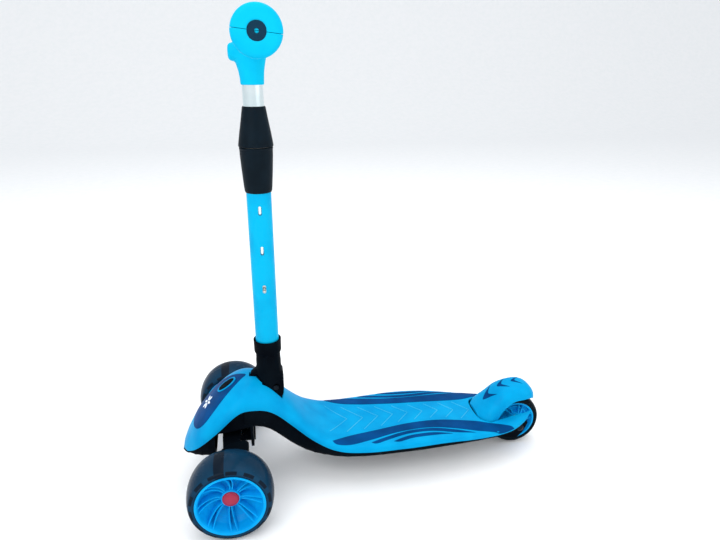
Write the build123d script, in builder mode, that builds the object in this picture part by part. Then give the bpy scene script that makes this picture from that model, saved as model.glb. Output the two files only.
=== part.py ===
"""Three-wheeled kick scooter for children, made as the separate pieces it comes apart into.

Frame: -X is forward (the nose), +X the tail, Y across, +Z up. The origin lies on the ground,
under the middle of the whole scooter. All sizes are in millimetres.
"""
import os
from math import cos, pi, radians, sin

from build123d import *

os.makedirs("parts", exist_ok=True)

# ---------------------------------------------------------------- driving dimensions
# running gear
front_wheel_radius = 60.0
front_tyre_half = 26.0
front_track = 262.0
rear_wheel_radius = 44.2
rear_tyre_half = 13.8
wheelbase = 475.7
nose_overhang = 74.0
axle_radius = 4.0
bearing_radius = 11.0
bearing_width = 7.0
running_gap = 0.05
body_gap = 0.4

# body of the deck
wall = 3.0
deck_height = 73.5
deck_half_width = 78.0
waist_half_width = 41.0
nose_half_width = 61.0
crest_height = 172.0
side_drop = 13.5
deck_underside = 51.0
nose_underside = 64.0
land_height = 45.0
inlay_height = 0.7

# steering column
stem_x = 63.0
stem_radius = 17.3
stem_wall = 1.6
mast_radius = 13.8
mast_wall = 1.5
stem_foot = 172.0
socket_top = 231.0
collar_foot = 457.0
collar_split = 519.0
collar_top = 572.0
head_foot = 599.0
bar_height = 658.6
bar_offset = 7.0
grip_reach = 135.0
flange_radius = 28.8
bar_radius = 11.0
slot_step = 58.0
lowest_slot = 317.0
slot_width = 5.0
slot_length = 13.0

# fold joint
fold_x = 72.0
fold_z = 155.0
fold_pin_radius = 4.0
socket_sweep = 21.0
socket_half_width = 20.0

# lean-to-steer truck
kingpin_x = -2.0
kingpin_z = 86.0
kingpin_slope = 45.0
arm_reach = 106.5

# foot brake
brake_pivot_back = 63.0
brake_pivot_z = 55.0
brake_pin_radius = 2.5
pad_clearance = 5.0

# ---------------------------------------------------------------- places that follow from them
length = nose_overhang + wheelbase + rear_wheel_radius
front_x = nose_overhang - length / 2
rear_x = front_x + wheelbase
axle_z = front_wheel_radius
rear_z = rear_wheel_radius
wheel_y = front_track / 2
stem_axis_x = front_x + stem_x
bar_x = stem_axis_x + bar_offset
fold_point = (front_x + fold_x, 0, fold_z)
brake_x = rear_x - brake_pivot_back
tail_shift = wheelbase - 475.7


def save(node, name):
    """Label one finished sub-part and write it to its own STEP file."""
    node.label = name
    export_step(node, f"parts/{name}.step")


def turned(points, centre, axis=(0, 1, 0)):
    """Revolve an outline of (radius, along-axis) points around an axis through centre."""
    along = Vector(*axis)
    radial = Vector(0, 0, 1).cross(along) if abs(along.Z) < 0.9 else Vector(1, 0, 0)
    radial = radial.normalized()
    with BuildPart() as body:
        with BuildSketch(Plane(origin=centre, x_dir=radial, z_dir=radial.cross(along))):
            with BuildLine():
                Polyline(*points, close=True)
            make_face()
        revolve(axis=Axis(centre, axis))
    return body.part


def ring(outer, inner, low, high):
    """Outline of a plain ring, for turned()."""
    return [(inner, low), (outer, low), (outer, high), (inner, high)]


def rod(radius, low, high):
    """Outline of a plain rod, for turned()."""
    return [(0, low), (radius, low), (radius, high), (0, high)]


def smooth(knots, x):
    """Read a curve through (x, value) knots at x, with the slopes of a gentle spline."""
    for i in range(len(knots) - 1):
        if x <= knots[i + 1][0] or i == len(knots) - 2:
            break

    def slope(k):
        left = max(k - 1, 0)
        right = min(k + 1, len(knots) - 1)
        return (knots[right][1] - knots[left][1]) / (knots[right][0] - knots[left][0])

    x0, v0 = knots[i]
    x1, v1 = knots[i + 1]
    span = x1 - x0
    t = (x - x0) / span
    rise = t * t * (3 - 2 * t)
    lead = t * (1 - t) * (1 - t) * slope(i) * span
    trail = t * t * (t - 1) * slope(i + 1) * span
    return v0 * (1 - rise) + v1 * rise + lead + trail


# ---------------------------------------------------------------- lines of the deck body
# Each line is read along the scooter from the front axle; the tail's stations move with the wheelbase.
def nose(x):
    """A station ahead of the front axle, drawn out with the length of the nose."""
    return x * nose_overhang / 74.0


def tail(x):
    """A station near the tail, moved with the wheelbase."""
    return x + tail_shift


HALF_WIDTH = [
    (nose(-74), 14), (nose(-66), 32), (nose(-48), 52), (nose(-15), nose_half_width), (28, 53), (60, 45),
    (88, waist_half_width), (130, 58), (180, 72), (265, deck_half_width),
    (tail(330), deck_half_width - 3.5), (tail(400), 64.5), (tail(450), 53), (tail(481), 38.5), (tail(494), 31),
]
CROWN = [
    (nose(-74), 66), (nose(-66), 84), (nose(-48), 112), (nose(-15), crest_height - 24), (14, crest_height - 5),
    (35, crest_height), (60, crest_height - 10), (90, 129), (120, 97), (155, deck_height + 4),
    (200, deck_height - 1), (285, deck_height), (tail(330), deck_height - 1), (tail(400), deck_height - 7.5),
    (tail(450), deck_height - 9), (tail(481), deck_height - 2.5), (tail(494), deck_height + 1.5),
]
EDGE = [
    (nose(-74), 60), (nose(-66), 66), (nose(-48), 83), (nose(-15), 114), (14, 137), (35, 138), (60, 129),
    (90, 102), (120, 80), (155, 63.5), (200, deck_height - side_drop - 1), (265, deck_height - side_drop + 0.5),
    (tail(330), deck_height - side_drop), (tail(400), deck_height - side_drop - 6.5),
    (tail(450), deck_height - side_drop - 8), (tail(481), deck_height - side_drop - 2),
    (tail(494), deck_height - side_drop + 11),
]
UNDERSIDE = [
    (22, 104), (43, 100), (60, 90), (90, 61), (115, deck_underside - 2), (150, deck_underside - 5.4),
    (200, deck_underside - 4.5), (265, deck_underside - 2.5), (tail(400), deck_underside - 4),
    (tail(450), deck_underside - 6),
]
SQUARENESS = [(nose(-74), 2.2), (0, 2.2), (60, 2.0), (110, 2.6), (170, 4.5), (tail(400), 4.5), (tail(494), 3.0)]
COVER_STATIONS = [nose(x) for x in (-74, -71, -67, -61, -54, -44, -33, -20, -8)]
COVER_STATIONS += [4, 16, 28, 39, 50, 60, 70, 80, 90, 101, 113, 126, 140, 156, 175, 200, 230, 265, 297]
COVER_STATIONS += [tail(x) for x in (330, 360, 390, 420, 440, 458, 472, 484, 494)]


def arch(half_width, height, squareness, count=11):
    """Points of a rounded arch over the base line, from one foot to the other."""
    points = []
    for i in range(count):
        angle = pi * i / (count - 1)
        y = abs(cos(angle)) ** (2 / squareness) * (1 if cos(angle) > 0 else -1)
        z = sin(angle) ** (2 / squareness) if 0 < i < count - 1 else 0
        points.append((half_width * y, height * z))
    return points


def body_loft(stations, half_width, base, rise, squareness):
    """Loft closed arched sections; each argument after stations is a function of x."""
    with BuildPart() as body:
        for x in stations:
            plane = Plane(origin=(front_x + x, 0, base(x)), x_dir=(0, 1, 0), z_dir=(1, 0, 0))
            points = arch(half_width(x), rise(x), squareness(x))
            with BuildSketch(plane):
                with BuildLine():
                    Spline(*points)
                    Line(points[-1], points[0])
                make_face()
        loft(ruled=True)
    return body.part


def cover_loft(inset, lift=0.0):
    """The closed outer form of the deck cover, drawn in by inset; lift lowers its open base."""
    stations = COVER_STATIONS
    if inset > 0:
        stations = [inset - nose_overhang] + COVER_STATIONS[2:]
    return body_loft(
        stations,
        lambda x: smooth(HALF_WIDTH, x) - inset,
        lambda x: smooth(EDGE, x) - lift,
        lambda x: smooth(CROWN, x) - smooth(EDGE, x) + lift - inset,
        lambda x: smooth(SQUARENESS, x),
    )


def cut_box(low, high):
    """A plain block between two corners, used as a cutter."""
    with BuildPart() as block:
        size = [b - a for a, b in zip(low, high)]
        middle = [(a + b) / 2 for a, b in zip(low, high)]
        with Locations(tuple(middle)):
            Box(*size)
    return block.part


def side_plate(points, low_y, high_y):
    """Extrude an outline drawn in side view (x from the front axle, z) between two y planes."""
    with BuildPart() as plate:
        with BuildSketch(Plane.XZ.offset(-high_y)):
            with BuildLine():
                Polyline(*[(front_x + x, z) for x, z in points], close=True)
            make_face()
        extrude(amount=high_y - low_y)
    return plate.part


def coil(foot, axis, radius, wire, height, turns):
    """A helical spring of round wire."""
    with BuildPart() as spring:
        with BuildLine():
            path = Helix(pitch=height / turns, height=height, radius=radius, center=foot, direction=axis)
        with BuildSketch(Plane(origin=path @ 0, z_dir=path % 0)):
            Circle(wire)
        sweep(path=path)
    return spring.part


def at_axle(x, y=0.0, z=0.0):
    """A point measured along the scooter from the front axle."""
    return (front_x + x, y, z)


# ---------------------------------------------------------------- deck cover
button_x = -3.0
button_slope = 34.0
button_long = 14.0
button_short = 8.5
button_travel = 4.0
bezel_width = 3.0
slot_wide = 40.0
slot_narrow = 29.5

crown_at_button = smooth(CROWN, button_x)
button_normal = (-sin(radians(button_slope)), 0, cos(radians(button_slope)))
button_centre = at_axle(button_x, 0, crown_at_button)
button_plane = Plane(origin=button_centre, x_dir=(cos(radians(button_slope)), 0, sin(radians(button_slope))),
                     z_dir=button_normal)

cover_outer = cover_loft(0)
cover_inner = cover_loft(wall, lift=1.0)


def fender_well(gap, low, high):
    """The opening in the tail that the fender and the rear wheel stand in, wider by gap."""
    with BuildPart() as well:
        with BuildSketch(Plane.XY.offset(low)):
            with BuildLine():
                corner = rear_x - 55.7
                Spline((corner, -slot_wide - gap), (rear_x - 67.5 - gap, -32 - gap), (rear_x - 73.2 - gap, -17),
                       (rear_x - 73.8 - gap, 0), (rear_x - 73.2 - gap, 17), (rear_x - 67.5 - gap, 32 + gap),
                       (corner, slot_wide + gap))
                Polyline((corner, slot_wide + gap), (rear_x - 35.7, 33 + gap), (rear_x - 15.7, slot_narrow + gap),
                         (rear_x + 60, slot_narrow + gap), (rear_x + 60, -slot_narrow - gap),
                         (rear_x - 15.7, -slot_narrow - gap), (rear_x - 35.7, -33 - gap),
                         (corner, -slot_wide - gap))
            make_face()
        extrude(amount=high - low)
    return well.part


with BuildPart() as deck_cover:
    add(cover_outer)
    add(cover_inner, mode=Mode.SUBTRACT)
    add(fender_well(0, 20, 200), mode=Mode.SUBTRACT)
    # opening over the fold joint, with the slot for the toe of the socket in front of it
    with BuildSketch(Plane.XY.offset(fold_z - 25)):
        with Locations((stem_axis_x, 0)):
            Circle(socket_half_width + 1.2)
        with Locations((front_x + fold_x - 8, 0)):
            Rectangle(26, 2 * socket_half_width + 2.4)
        with Locations((front_x + 40, 0)):
            Rectangle(16, 13)
    extrude(amount=60, mode=Mode.SUBTRACT)
    with BuildSketch(Plane.XZ.offset(-socket_half_width - 1.2)):
        with Locations((front_x + fold_x, fold_z)):
            Circle(socket_sweep + 0.6)
    extrude(amount=2 * socket_half_width + 2.4, mode=Mode.SUBTRACT)
    with BuildSketch(button_plane.offset(-12)):
        Ellipse(button_long + bezel_width, button_short + bezel_width)
    extrude(amount=30, mode=Mode.SUBTRACT)
save(deck_cover.part, "deck_cover")


# ---------------------------------------------------------------- chassis under the cover
def tray_loft(stations, bottom, inset, lift):
    """The chassis form below the cover's edge line, drawn in by inset."""
    return body_loft(
        stations,
        lambda x: smooth(HALF_WIDTH, x) - 1 - inset,
        lambda x: smooth(EDGE, x) + lift,
        lambda x: bottom(x) + inset - smooth(EDGE, x) - lift,
        lambda x: 5.0,
    )


NOSE_STATIONS = [x for x in COVER_STATIONS if nose(-72) < x < 30] + [34]
DECK_STATIONS = [22] + [x for x in COVER_STATIONS if 24 < x < tail(470)]
shell_gap = 0.3
arm_inner = 24.0
arm_outer = 34.0
wheel_well = 21.0
lug_half = 10.5

nose_form = tray_loft(NOSE_STATIONS, lambda x: min(nose_underside, smooth(EDGE, x) - 3), 0, -shell_gap)
nose_hollow = tray_loft([x for x in NOSE_STATIONS if nose(-58) < x < 30] + [34 - wall], lambda x: nose_underside, wall, 1)
deck_form = tray_loft(DECK_STATIONS, lambda x: smooth(UNDERSIDE, x), 0, -shell_gap)
deck_hollow = tray_loft([22 - wall] + DECK_STATIONS[1:-1], lambda x: smooth(UNDERSIDE, x), wall, 1)
ear_low = deck_underside - 4
kingpin_along = Vector(-cos(radians(kingpin_slope)), 0, sin(radians(kingpin_slope)))
kingpin_centre = Vector(front_x + kingpin_x, 0, kingpin_z)
sleeve_half = 17.0
pivot_clearance = 18.0
roof_z = 110.0
kingpin_half = 29.0
plate_low = deck_underside + wall
plate_thickness = 2.0
plate_middle = 265.0
deck_screw_radius = 2.0
DECK_SCREWS = [(plate_middle + x, y) for x in (-75, 75) for y in (-13, 13)]

with BuildPart() as chassis:
    add(nose_form)
    add(deck_form)
    add(nose_hollow, mode=Mode.SUBTRACT)
    add(deck_hollow, mode=Mode.SUBTRACT)
    # saddle for the truck across the nose
    add(cut_box(at_axle(-23, -90, 40), at_axle(30, 90, roof_z)), mode=Mode.SUBTRACT)
    add(cut_box(at_axle(-28, -42, roof_z), at_axle(36, 42, roof_z + wall)))
    # two posts that hold the ends of the kingpin
    add(side_plate([(-60, 65), (-60, 78), (-44, 100), (-34, 110), (-18, 116), (-18, 110), (-24, 104), (-28, 98),
                    (-36, 65)], -14, 14))
    add(side_plate([(12.5, 62), (12.5, 69), (19, 76), (31, 88), (31, 106), (36, 106), (36, 62)], -14, 14))
    add(turned(rod(pivot_clearance, -sleeve_half - 2.2, sleeve_half + 2.2), tuple(kingpin_centre),
               tuple(kingpin_along)), mode=Mode.SUBTRACT)
    # central lug of the fold joint
    add(side_plate([(50, 99), (84, 68), (84, 84), (fold_x + 8, fold_z - 10), (fold_x + 9, fold_z),
                    (fold_x + 5, fold_z + 7.5), (fold_x, fold_z + 9), (fold_x - 5, fold_z + 7.5),
                    (fold_x - 9, fold_z), (52, 112)], -lug_half, lug_half))
    # fork arms that hold the rear axle
    for side in (-1, 1):
        low, high = sorted((side * arm_inner, side * arm_outer))
        fork = [(-66, 48), (-45, 38), (-25, 28), (-11, 24.5), (-3, 27), (4, 33), (10, 44), (13, 52), (11, 56), (4, 56),
                (-30, 52), (-66, 52)]
        add(side_plate([(wheelbase + x, z) for x, z in fork], low, high))
        ear = cut_box((brake_x - 8, min(side * 15, side * 21), ear_low),
                      (brake_x + 7, max(side * 15, side * 21), brake_pivot_z + 5.5))
        add(ear)
    add(cut_box((rear_x - 51, -wheel_well, 20), (rear_x + 60, wheel_well, 120)), mode=Mode.SUBTRACT)
    # long ribs under the board
    for rib_y in (-46, -26, 26, 46):
        add(side_plate([(150, deck_underside - 4), (210, deck_underside - 3), (265, deck_underside - 1.5),
                        (tail(385), deck_underside - 3), (tail(385), deck_underside + 5),
                        (150, deck_underside + 6)], rib_y - 1.2, rib_y + 1.2))
    # flat land under the board and the bosses of its four screws
    add(cut_box(at_axle(200, -20, land_height), at_axle(325, 20, deck_underside - 0.5)))
    for screw_x, screw_y in DECK_SCREWS:
        add(turned(rod(6, land_height, plate_low), at_axle(screw_x, screw_y), (0, 0, 1)))
        add(turned(rod(deck_screw_radius, 0, 100), at_axle(screw_x, screw_y), (0, 0, 1)), mode=Mode.SUBTRACT)
    # bores for the pins
    add(turned(rod(fold_pin_radius, -30, 30), fold_point), mode=Mode.SUBTRACT)
    add(turned(rod(axle_radius, -60, 60), (rear_x, 0, rear_z)), mode=Mode.SUBTRACT)
    add(turned(rod(brake_pin_radius, -30, 30), (brake_x, 0, brake_pivot_z)), mode=Mode.SUBTRACT)
    add(turned(rod(axle_radius, -70, 40), tuple(kingpin_centre), tuple(kingpin_along)), mode=Mode.SUBTRACT)
save(chassis.part, "chassis")


# ---------------------------------------------------------------- trim on the cover
def inlay(outline, low_z, high_z):
    """A thin plate that lies on the cover, inside an outline drawn in plan (x from the front axle, y)."""
    with BuildPart() as piece:
        with BuildSketch(Plane.XY.offset(low_z)):
            with BuildLine():
                Spline(*[(front_x + x, y) for x, y in outline], periodic=True)
            make_face()
        extrude(amount=high_z - low_z)
        add(inlay_skin, mode=Mode.INTERSECT)
    return piece.part


with BuildPart() as skin:
    add(cover_loft(-inlay_height))
    add(cover_outer, mode=Mode.SUBTRACT)
    add(fender_well(0.3, 20, 200), mode=Mode.SUBTRACT)
inlay_skin = skin.part

panel_side = [(20, 8), (8, 19), (-8, 31), (-24, 39), (-38, 40.5), (-49, 33), (-55, 18)]
panel_outline = [(27, 0)] + panel_side + [(-57, 0)] + [(x, -y) for x, y in reversed(panel_side)]
with BuildPart() as nose_panel:
    add(inlay(panel_outline, 80, 200))
    with BuildSketch(button_plane.offset(-12)):
        Ellipse(button_long + bezel_width, button_short + bezel_width)
    extrude(amount=30, mode=Mode.SUBTRACT)
save(nose_panel.part, "nose_panel")

# a plain six-petalled flower stands for the badge
emblem_x = -33.2
emblem_slope = 52.0
emblem_plane = Plane(origin=at_axle(emblem_x, 0, smooth(CROWN, emblem_x)),
                     x_dir=(cos(radians(emblem_slope)), 0, sin(radians(emblem_slope))),
                     z_dir=(-sin(radians(emblem_slope)), 0, cos(radians(emblem_slope))))
emblem_height = 0.8
with BuildPart() as emblem_skin:
    add(cover_loft(-inlay_height - emblem_height))
    add(cover_loft(-inlay_height), mode=Mode.SUBTRACT)
with BuildPart() as nose_emblem:
    with BuildSketch(emblem_plane.offset(-6)):
        with PolarLocations(7.5, 6):
            Ellipse(4.5, 2.1)
    extrude(amount=12)
    add(emblem_skin.part, mode=Mode.INTERSECT)
save(nose_emblem.part, "nose_emblem")

# three waves along each side of the board: (inner edge, outer edge) from nose to tail
WAVES = [
    ([(153, 58), (184, 46), (235, 36.7), (285, 30), (338, 28.5), (tail(391), 33.4), (tail(417), 41)],
     [(tail(457), 51), (tail(430), 59), (tail(395), 59), (tail(355), 52.5), (310, 47), (260, 50), (215, 60), (183, 66),
      (160, 64)]),
    ([(213, 66), (240, 58), (275, 50.5), (315, 49.5), (tail(352), 55.5)],
     [(tail(385), 62), (tail(350), 61.5), (310, 56), (275, 57), (245, 63.5), (222, 69)]),
    ([(248, 69.5), (275, 62), (310, 60)],
     [(tail(345), 64.5), (310, 66), (280, 67.5), (258, 71.5)]),
]
for side, name in ((-1, "left"), (1, "right")):
    with BuildPart() as waves:
        for inner_edge, outer_edge in WAVES:
            add(inlay([(x, side * y) for x, y in inner_edge + outer_edge], 50, 100))
    save(waves.part, f"inlay_{name}")

with BuildPart() as button_bezel:
    with BuildSketch(button_plane.offset(-6)):
        Ellipse(button_long + bezel_width - 0.05, button_short + bezel_width - 0.05)
        Ellipse(button_long + 0.35, button_short + 0.35, mode=Mode.SUBTRACT)
    extrude(amount=7.2)
    fillet(button_bezel.edges().group_by(Axis(button_centre, button_normal))[-1], 0.5)
save(button_bezel.part, "button_bezel")

# ---------------------------------------------------------------- fold release on the nose
plunger_radius = 4.0
guide_depth = 22.0
with BuildPart() as fold_button:
    with BuildSketch(button_plane.offset(-7)):
        Ellipse(button_long, button_short)
    extrude(amount=9)
    fillet(fold_button.edges().group_by(Axis(button_centre, button_normal))[-1], 1.2)
    with BuildSketch(button_plane.offset(-7)):
        Circle(plunger_radius)
    extrude(amount=-guide_depth)
save(fold_button.part, "fold_button")

with BuildPart() as button_guide:
    with BuildSketch(button_plane.offset(-24)):
        Circle(plunger_radius + 3.5)
        Circle(plunger_radius + running_gap, mode=Mode.SUBTRACT)
    extrude(amount=5)
    with BuildSketch(button_plane.offset(-24)):
        with Locations((-16, 0), (16, 0)):
            Rectangle(20, 10)
        Circle(plunger_radius + 3.4, mode=Mode.SUBTRACT)
    extrude(amount=3)
    with BuildSketch(button_plane.offset(-24)):
        with Locations((-23, 0), (23, 0)):
            Rectangle(6, 10)
    extrude(amount=24)
    add(cover_inner, mode=Mode.INTERSECT)
save(button_guide.part, "button_guide")
spring_foot = Vector(*button_centre) - Vector(*button_normal) * 18.4
save(coil(tuple(spring_foot), button_normal, plunger_radius + 1.4, 0.5, 10.6, 5), "button_spring")

# ---------------------------------------------------------------- stem: socket and lower tube
screw_heights = (188, 202)
screw_radius = 2.0
rim_height = 21.0
rim_radius = 20.7
with BuildPart() as stem_socket:
    add(turned([(0, fold_z - 22), (socket_half_width, fold_z - 22), (socket_half_width, fold_z + 12), (18.5, 205),
                (18.5, socket_top), (0, socket_top)], (stem_axis_x, 0, 0), (0, 0, 1)))
    add(side_plate([(58, 150), (77.5, 134.8), (82.5, 139), (84.5, 150), (84.5, 175), (58, 175)],
                   -socket_half_width + 4, socket_half_width - 4))
    add(side_plate([(20, 120), (41, 176), (50, 164), (62, 147), (70, 137.5), (77.5, 134.2), (84, 139), (100, 120)],
                   -30, 30), mode=Mode.SUBTRACT)
    add(side_plate([(34, 167), (35, 176), (46, 185), (50, 180), (50, 172), (44, 171)], -5.5, 5.5))
    with BuildSketch(Plane.XY.offset(stem_foot)):
        with Locations((stem_axis_x, 0)):
            Circle(stem_radius)
    extrude(amount=100, mode=Mode.SUBTRACT)
    add(side_plate([(46, 100), (51, 150), (60, 168.5), (100, 168.5), (100, 100)], -lug_half - 0.5, lug_half + 0.5),
        mode=Mode.SUBTRACT)
    add(turned(rod(fold_pin_radius + running_gap, -30, 30), fold_point), mode=Mode.SUBTRACT)
    for screw_z in screw_heights:
        add(turned(rod(screw_radius, -30, 30), (stem_axis_x, 0, screw_z), (1, 0, 0)), mode=Mode.SUBTRACT)
save(stem_socket.part, "stem_socket")

with BuildPart() as socket_rim:
    add(turned([(18.5, socket_top - rim_height), (rim_radius - 1.2, socket_top - rim_height),
                (rim_radius - 0.4, socket_top - rim_height + 2), (rim_radius, socket_top), (18.5, socket_top)],
               (stem_axis_x, 0, 0), (0, 0, 1)))
    with BuildSketch(Plane.XY.offset(socket_top - rim_height)):
        with Locations((stem_axis_x + rim_radius, 0)):
            Rectangle(8, 2.5)
    extrude(amount=rim_height, mode=Mode.SUBTRACT)
save(socket_rim.part, "socket_rim")

fold_pin_half = 19.6
save(turned(rod(fold_pin_radius, -fold_pin_half, fold_pin_half), fold_point), "fold_pin")

stem_top = collar_split - 8
guide_radius = stem_radius - stem_wall
with BuildPart() as stem_tube:
    add(turned(ring(stem_radius, guide_radius, stem_foot, stem_top), (stem_axis_x, 0, 0), (0, 0, 1)))
    with BuildSketch(Plane.XZ.offset(stem_radius - 6)):
        for i in range(3):
            with Locations((stem_axis_x, lowest_slot + i * slot_step)):
                SlotOverall(slot_length, slot_width, rotation=90)
    extrude(amount=10, mode=Mode.SUBTRACT)
    for screw_z in screw_heights:
        add(turned(rod(screw_radius, -30, 30), (stem_axis_x, 0, screw_z), (1, 0, 0)), mode=Mode.SUBTRACT)
save(stem_tube.part, "stem_tube")

with BuildPart() as socket_bolts:
    for screw_z in screw_heights:
        add(turned(rod(screw_radius, -18.3, 18.3), (stem_axis_x, 0, screw_z), (1, 0, 0)))
    with BuildSketch(Plane.XY.offset(stem_foot)):
        with Locations((stem_axis_x, 0)):
            Circle(guide_radius)
    extrude(amount=60, mode=Mode.SUBTRACT)
save(socket_bolts.part, "socket_screws")

# twist clamp: fixed lower half, slotted collet and the nut that turns over it
collet_radius = guide_radius
with BuildPart() as collar_lower:
    add(turned([(stem_radius, collar_foot), (18.6, collar_foot), (19.4, collar_foot + 6), (21.6, collar_foot + 34),
                (23.2, collar_split - 3), (23.2, collar_split), (stem_radius, collar_split)],
               (stem_axis_x, 0, 0), (0, 0, 1)))
    add(turned(ring(stem_radius + 1, collet_radius - 1, stem_top, collar_split + 1), (stem_axis_x, 0, 0), (0, 0, 1)),
        mode=Mode.SUBTRACT)
save(collar_lower.part, "collar_lower")

with BuildPart() as collet:
    add(turned([(mast_radius + running_gap, collar_split - 40), (collet_radius, collar_split - 40),
                (collet_radius, stem_top), (stem_radius + 1, stem_top), (stem_radius + 1, collar_split + 16),
                (mast_radius + 1.6, collar_split + 40), (mast_radius + running_gap, collar_split + 40)],
               (stem_axis_x, 0, 0), (0, 0, 1)))
    with BuildSketch(Plane.XY.offset(collar_split + 8)):
        with Locations((stem_axis_x, 0)):
            Rectangle(60, 1.6)
            Rectangle(1.6, 60)
    extrude(amount=40, mode=Mode.SUBTRACT)
save(collet.part, "collet")

with BuildPart() as collar_nut:
    add(turned([(stem_radius + 1 + body_gap, collar_split + body_gap), (23.8, collar_split + body_gap),
                (23.9, collar_split + 6), (22.6, collar_split + 24), (18.6, collar_split + 44), (15.7, collar_top),
                (mast_radius + body_gap, collar_top), (mast_radius + body_gap, collar_split + 42),
                (mast_radius + 1.6 + body_gap, collar_split + 41), (mast_radius + 1.8 + body_gap, collar_split + 40),
                (stem_radius + 1 + body_gap, collar_split + 16.5)], (stem_axis_x, 0, 0), (0, 0, 1)))
save(collar_nut.part, "collar_nut")

# ---------------------------------------------------------------- mast, button and handlebar
mast_foot = lowest_slot - 22
bar_point = (bar_x, 0, bar_height)
with BuildPart() as mast_tube:
    add(turned(ring(mast_radius, mast_radius - mast_wall, mast_foot, bar_height), (stem_axis_x, 0, 0), (0, 0, 1)))
    add(turned(rod(bar_radius, -40, 40), bar_point), mode=Mode.SUBTRACT)
    with BuildSketch(Plane.XZ):
        with Locations((stem_axis_x, lowest_slot)):
            Circle(2.35)
    extrude(amount=30, mode=Mode.SUBTRACT)
save(mast_tube.part, "mast_tube")

with BuildPart() as mast_guide:
    add(turned(ring(guide_radius - running_gap, mast_radius, mast_foot, lowest_slot + 26), (stem_axis_x, 0, 0),
               (0, 0, 1)))
    with BuildSketch(Plane.XZ):
        with Locations((stem_axis_x, lowest_slot)):
            Circle(3.0)
    extrude(amount=30, mode=Mode.SUBTRACT)
save(mast_guide.part, "mast_guide")

button_reach = guide_radius - running_gap
with BuildPart() as snap_button:
    add(turned([(0, -button_reach), (1.4, -button_reach), (2.2, -button_reach + 1.2), (2.2, -9), (3.6, -9),
                (3.6, -7.6), (0, -7.6)], (stem_axis_x, 0, lowest_slot)))
save(snap_button.part, "snap_button")

with BuildPart() as snap_spring:
    with BuildSketch(Plane.YZ.offset(stem_axis_x - 3)):
        with BuildLine():
            Polyline((-7.2, lowest_slot + 4), (-6.4, lowest_slot + 4), (-6.4, lowest_slot - 9), (11.7, lowest_slot - 16),
                     (11.7, lowest_slot - 17), (-7.2, lowest_slot - 9.6), close=True)
        make_face()
    extrude(amount=6)
save(snap_spring.part, "snap_spring")

save(turned(ring(bar_radius, bar_radius - 1.5, -grip_reach + 3, grip_reach - 3), bar_point), "cross_tube")

seam_tilt = 7.0
seam = Plane(origin=bar_point, x_dir=(cos(radians(seam_tilt)), 0, -sin(radians(seam_tilt))),
             z_dir=(sin(radians(seam_tilt)), 0, cos(radians(seam_tilt))))
hub_half = 24.0
hub_radius = 23.0
grip_radius = 16.5
half_shell = [(0, hub_radius), (hub_half - 6, hub_radius), (hub_half + 4, hub_radius - 3), (hub_half + 14, grip_radius),
              (60, grip_radius), (90, grip_radius + 1), (112, grip_radius + 0.5), (120, grip_radius + 3),
              (125, flange_radius - 3), (127.5, flange_radius), (grip_reach - 3, flange_radius),
              (grip_reach - 0.8, flange_radius - 1.2), (grip_reach, flange_radius - 3.5)]
shell_outline = [(r, y) for y, r in half_shell] + [(bar_radius, grip_reach)]
shell_outline = [(r, -y) for r, y in reversed(shell_outline)] + shell_outline[1:]
bar_form = turned(shell_outline, bar_point)

with BuildPart() as handlebar_upper:
    add(bar_form)
    split(bisect_by=seam, keep=Keep.TOP)
save(handlebar_upper.part, "handlebar_upper")

with BuildPart() as handlebar_lower:
    add(bar_form)
    split(bisect_by=seam, keep=Keep.BOTTOM)
    with BuildSketch(Plane.XY.offset(head_foot)):
        with Locations((stem_axis_x, 0)):
            Circle(15.8)
    with BuildSketch(Plane.XY.offset(head_foot + 16)):
        with Locations((stem_axis_x, 0)):
            Circle(17.2)
    with BuildSketch(Plane.XY.offset(head_foot + 42)):
        with Locations((stem_axis_x - 1, 0)):
            Ellipse(23.5, 20.5)
    loft()
    with BuildSketch(Plane.YZ.offset(stem_axis_x - 30)):
        with Locations((0, bar_height - 17)):
            Circle(11)
    extrude(amount=25)
    add(turned(rod(bar_radius, -60, 60), bar_point), mode=Mode.SUBTRACT)
    with BuildSketch(Plane.XY.offset(head_foot)):
        with Locations((stem_axis_x, 0)):
            Circle(mast_radius)
    extrude(amount=bar_height - head_foot, mode=Mode.SUBTRACT)
    for side in (-1, 1):
        with BuildSketch(Plane.XY.offset(bar_height - flange_radius - 1)):
            with Locations((bar_x + 15, side * (grip_reach - 7))):
                Circle(2.6)
        extrude(amount=20, mode=Mode.SUBTRACT)
save(handlebar_lower.part, "handlebar_lower")

plug_recess = 1.5
plug_bore = 2.5
with BuildPart() as end_plugs:
    for side in (-1, 1):
        outline = ring(bar_radius, plug_bore, grip_reach - 2 * plug_recess, grip_reach - plug_recess)
        add(turned([(r, side * y) for r, y in outline], bar_point))
save(end_plugs.part, "end_plugs")

with BuildPart() as bar_screws:
    for side in (-1, 1):
        with BuildSketch(Plane.XY.offset(bar_height - flange_radius + 12)):
            with Locations((bar_x + 15, side * (grip_reach - 7))):
                Circle(2.5)
        extrude(amount=3)
save(bar_screws.part, "bar_screws")

# ---------------------------------------------------------------- lean-to-steer truck
sleeve_radius = 12.0
bush_radius = 6.5
arm_boss_radius = 11.0
beam_half = 13.0
kingpin = (tuple(kingpin_centre), tuple(kingpin_along))

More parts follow.
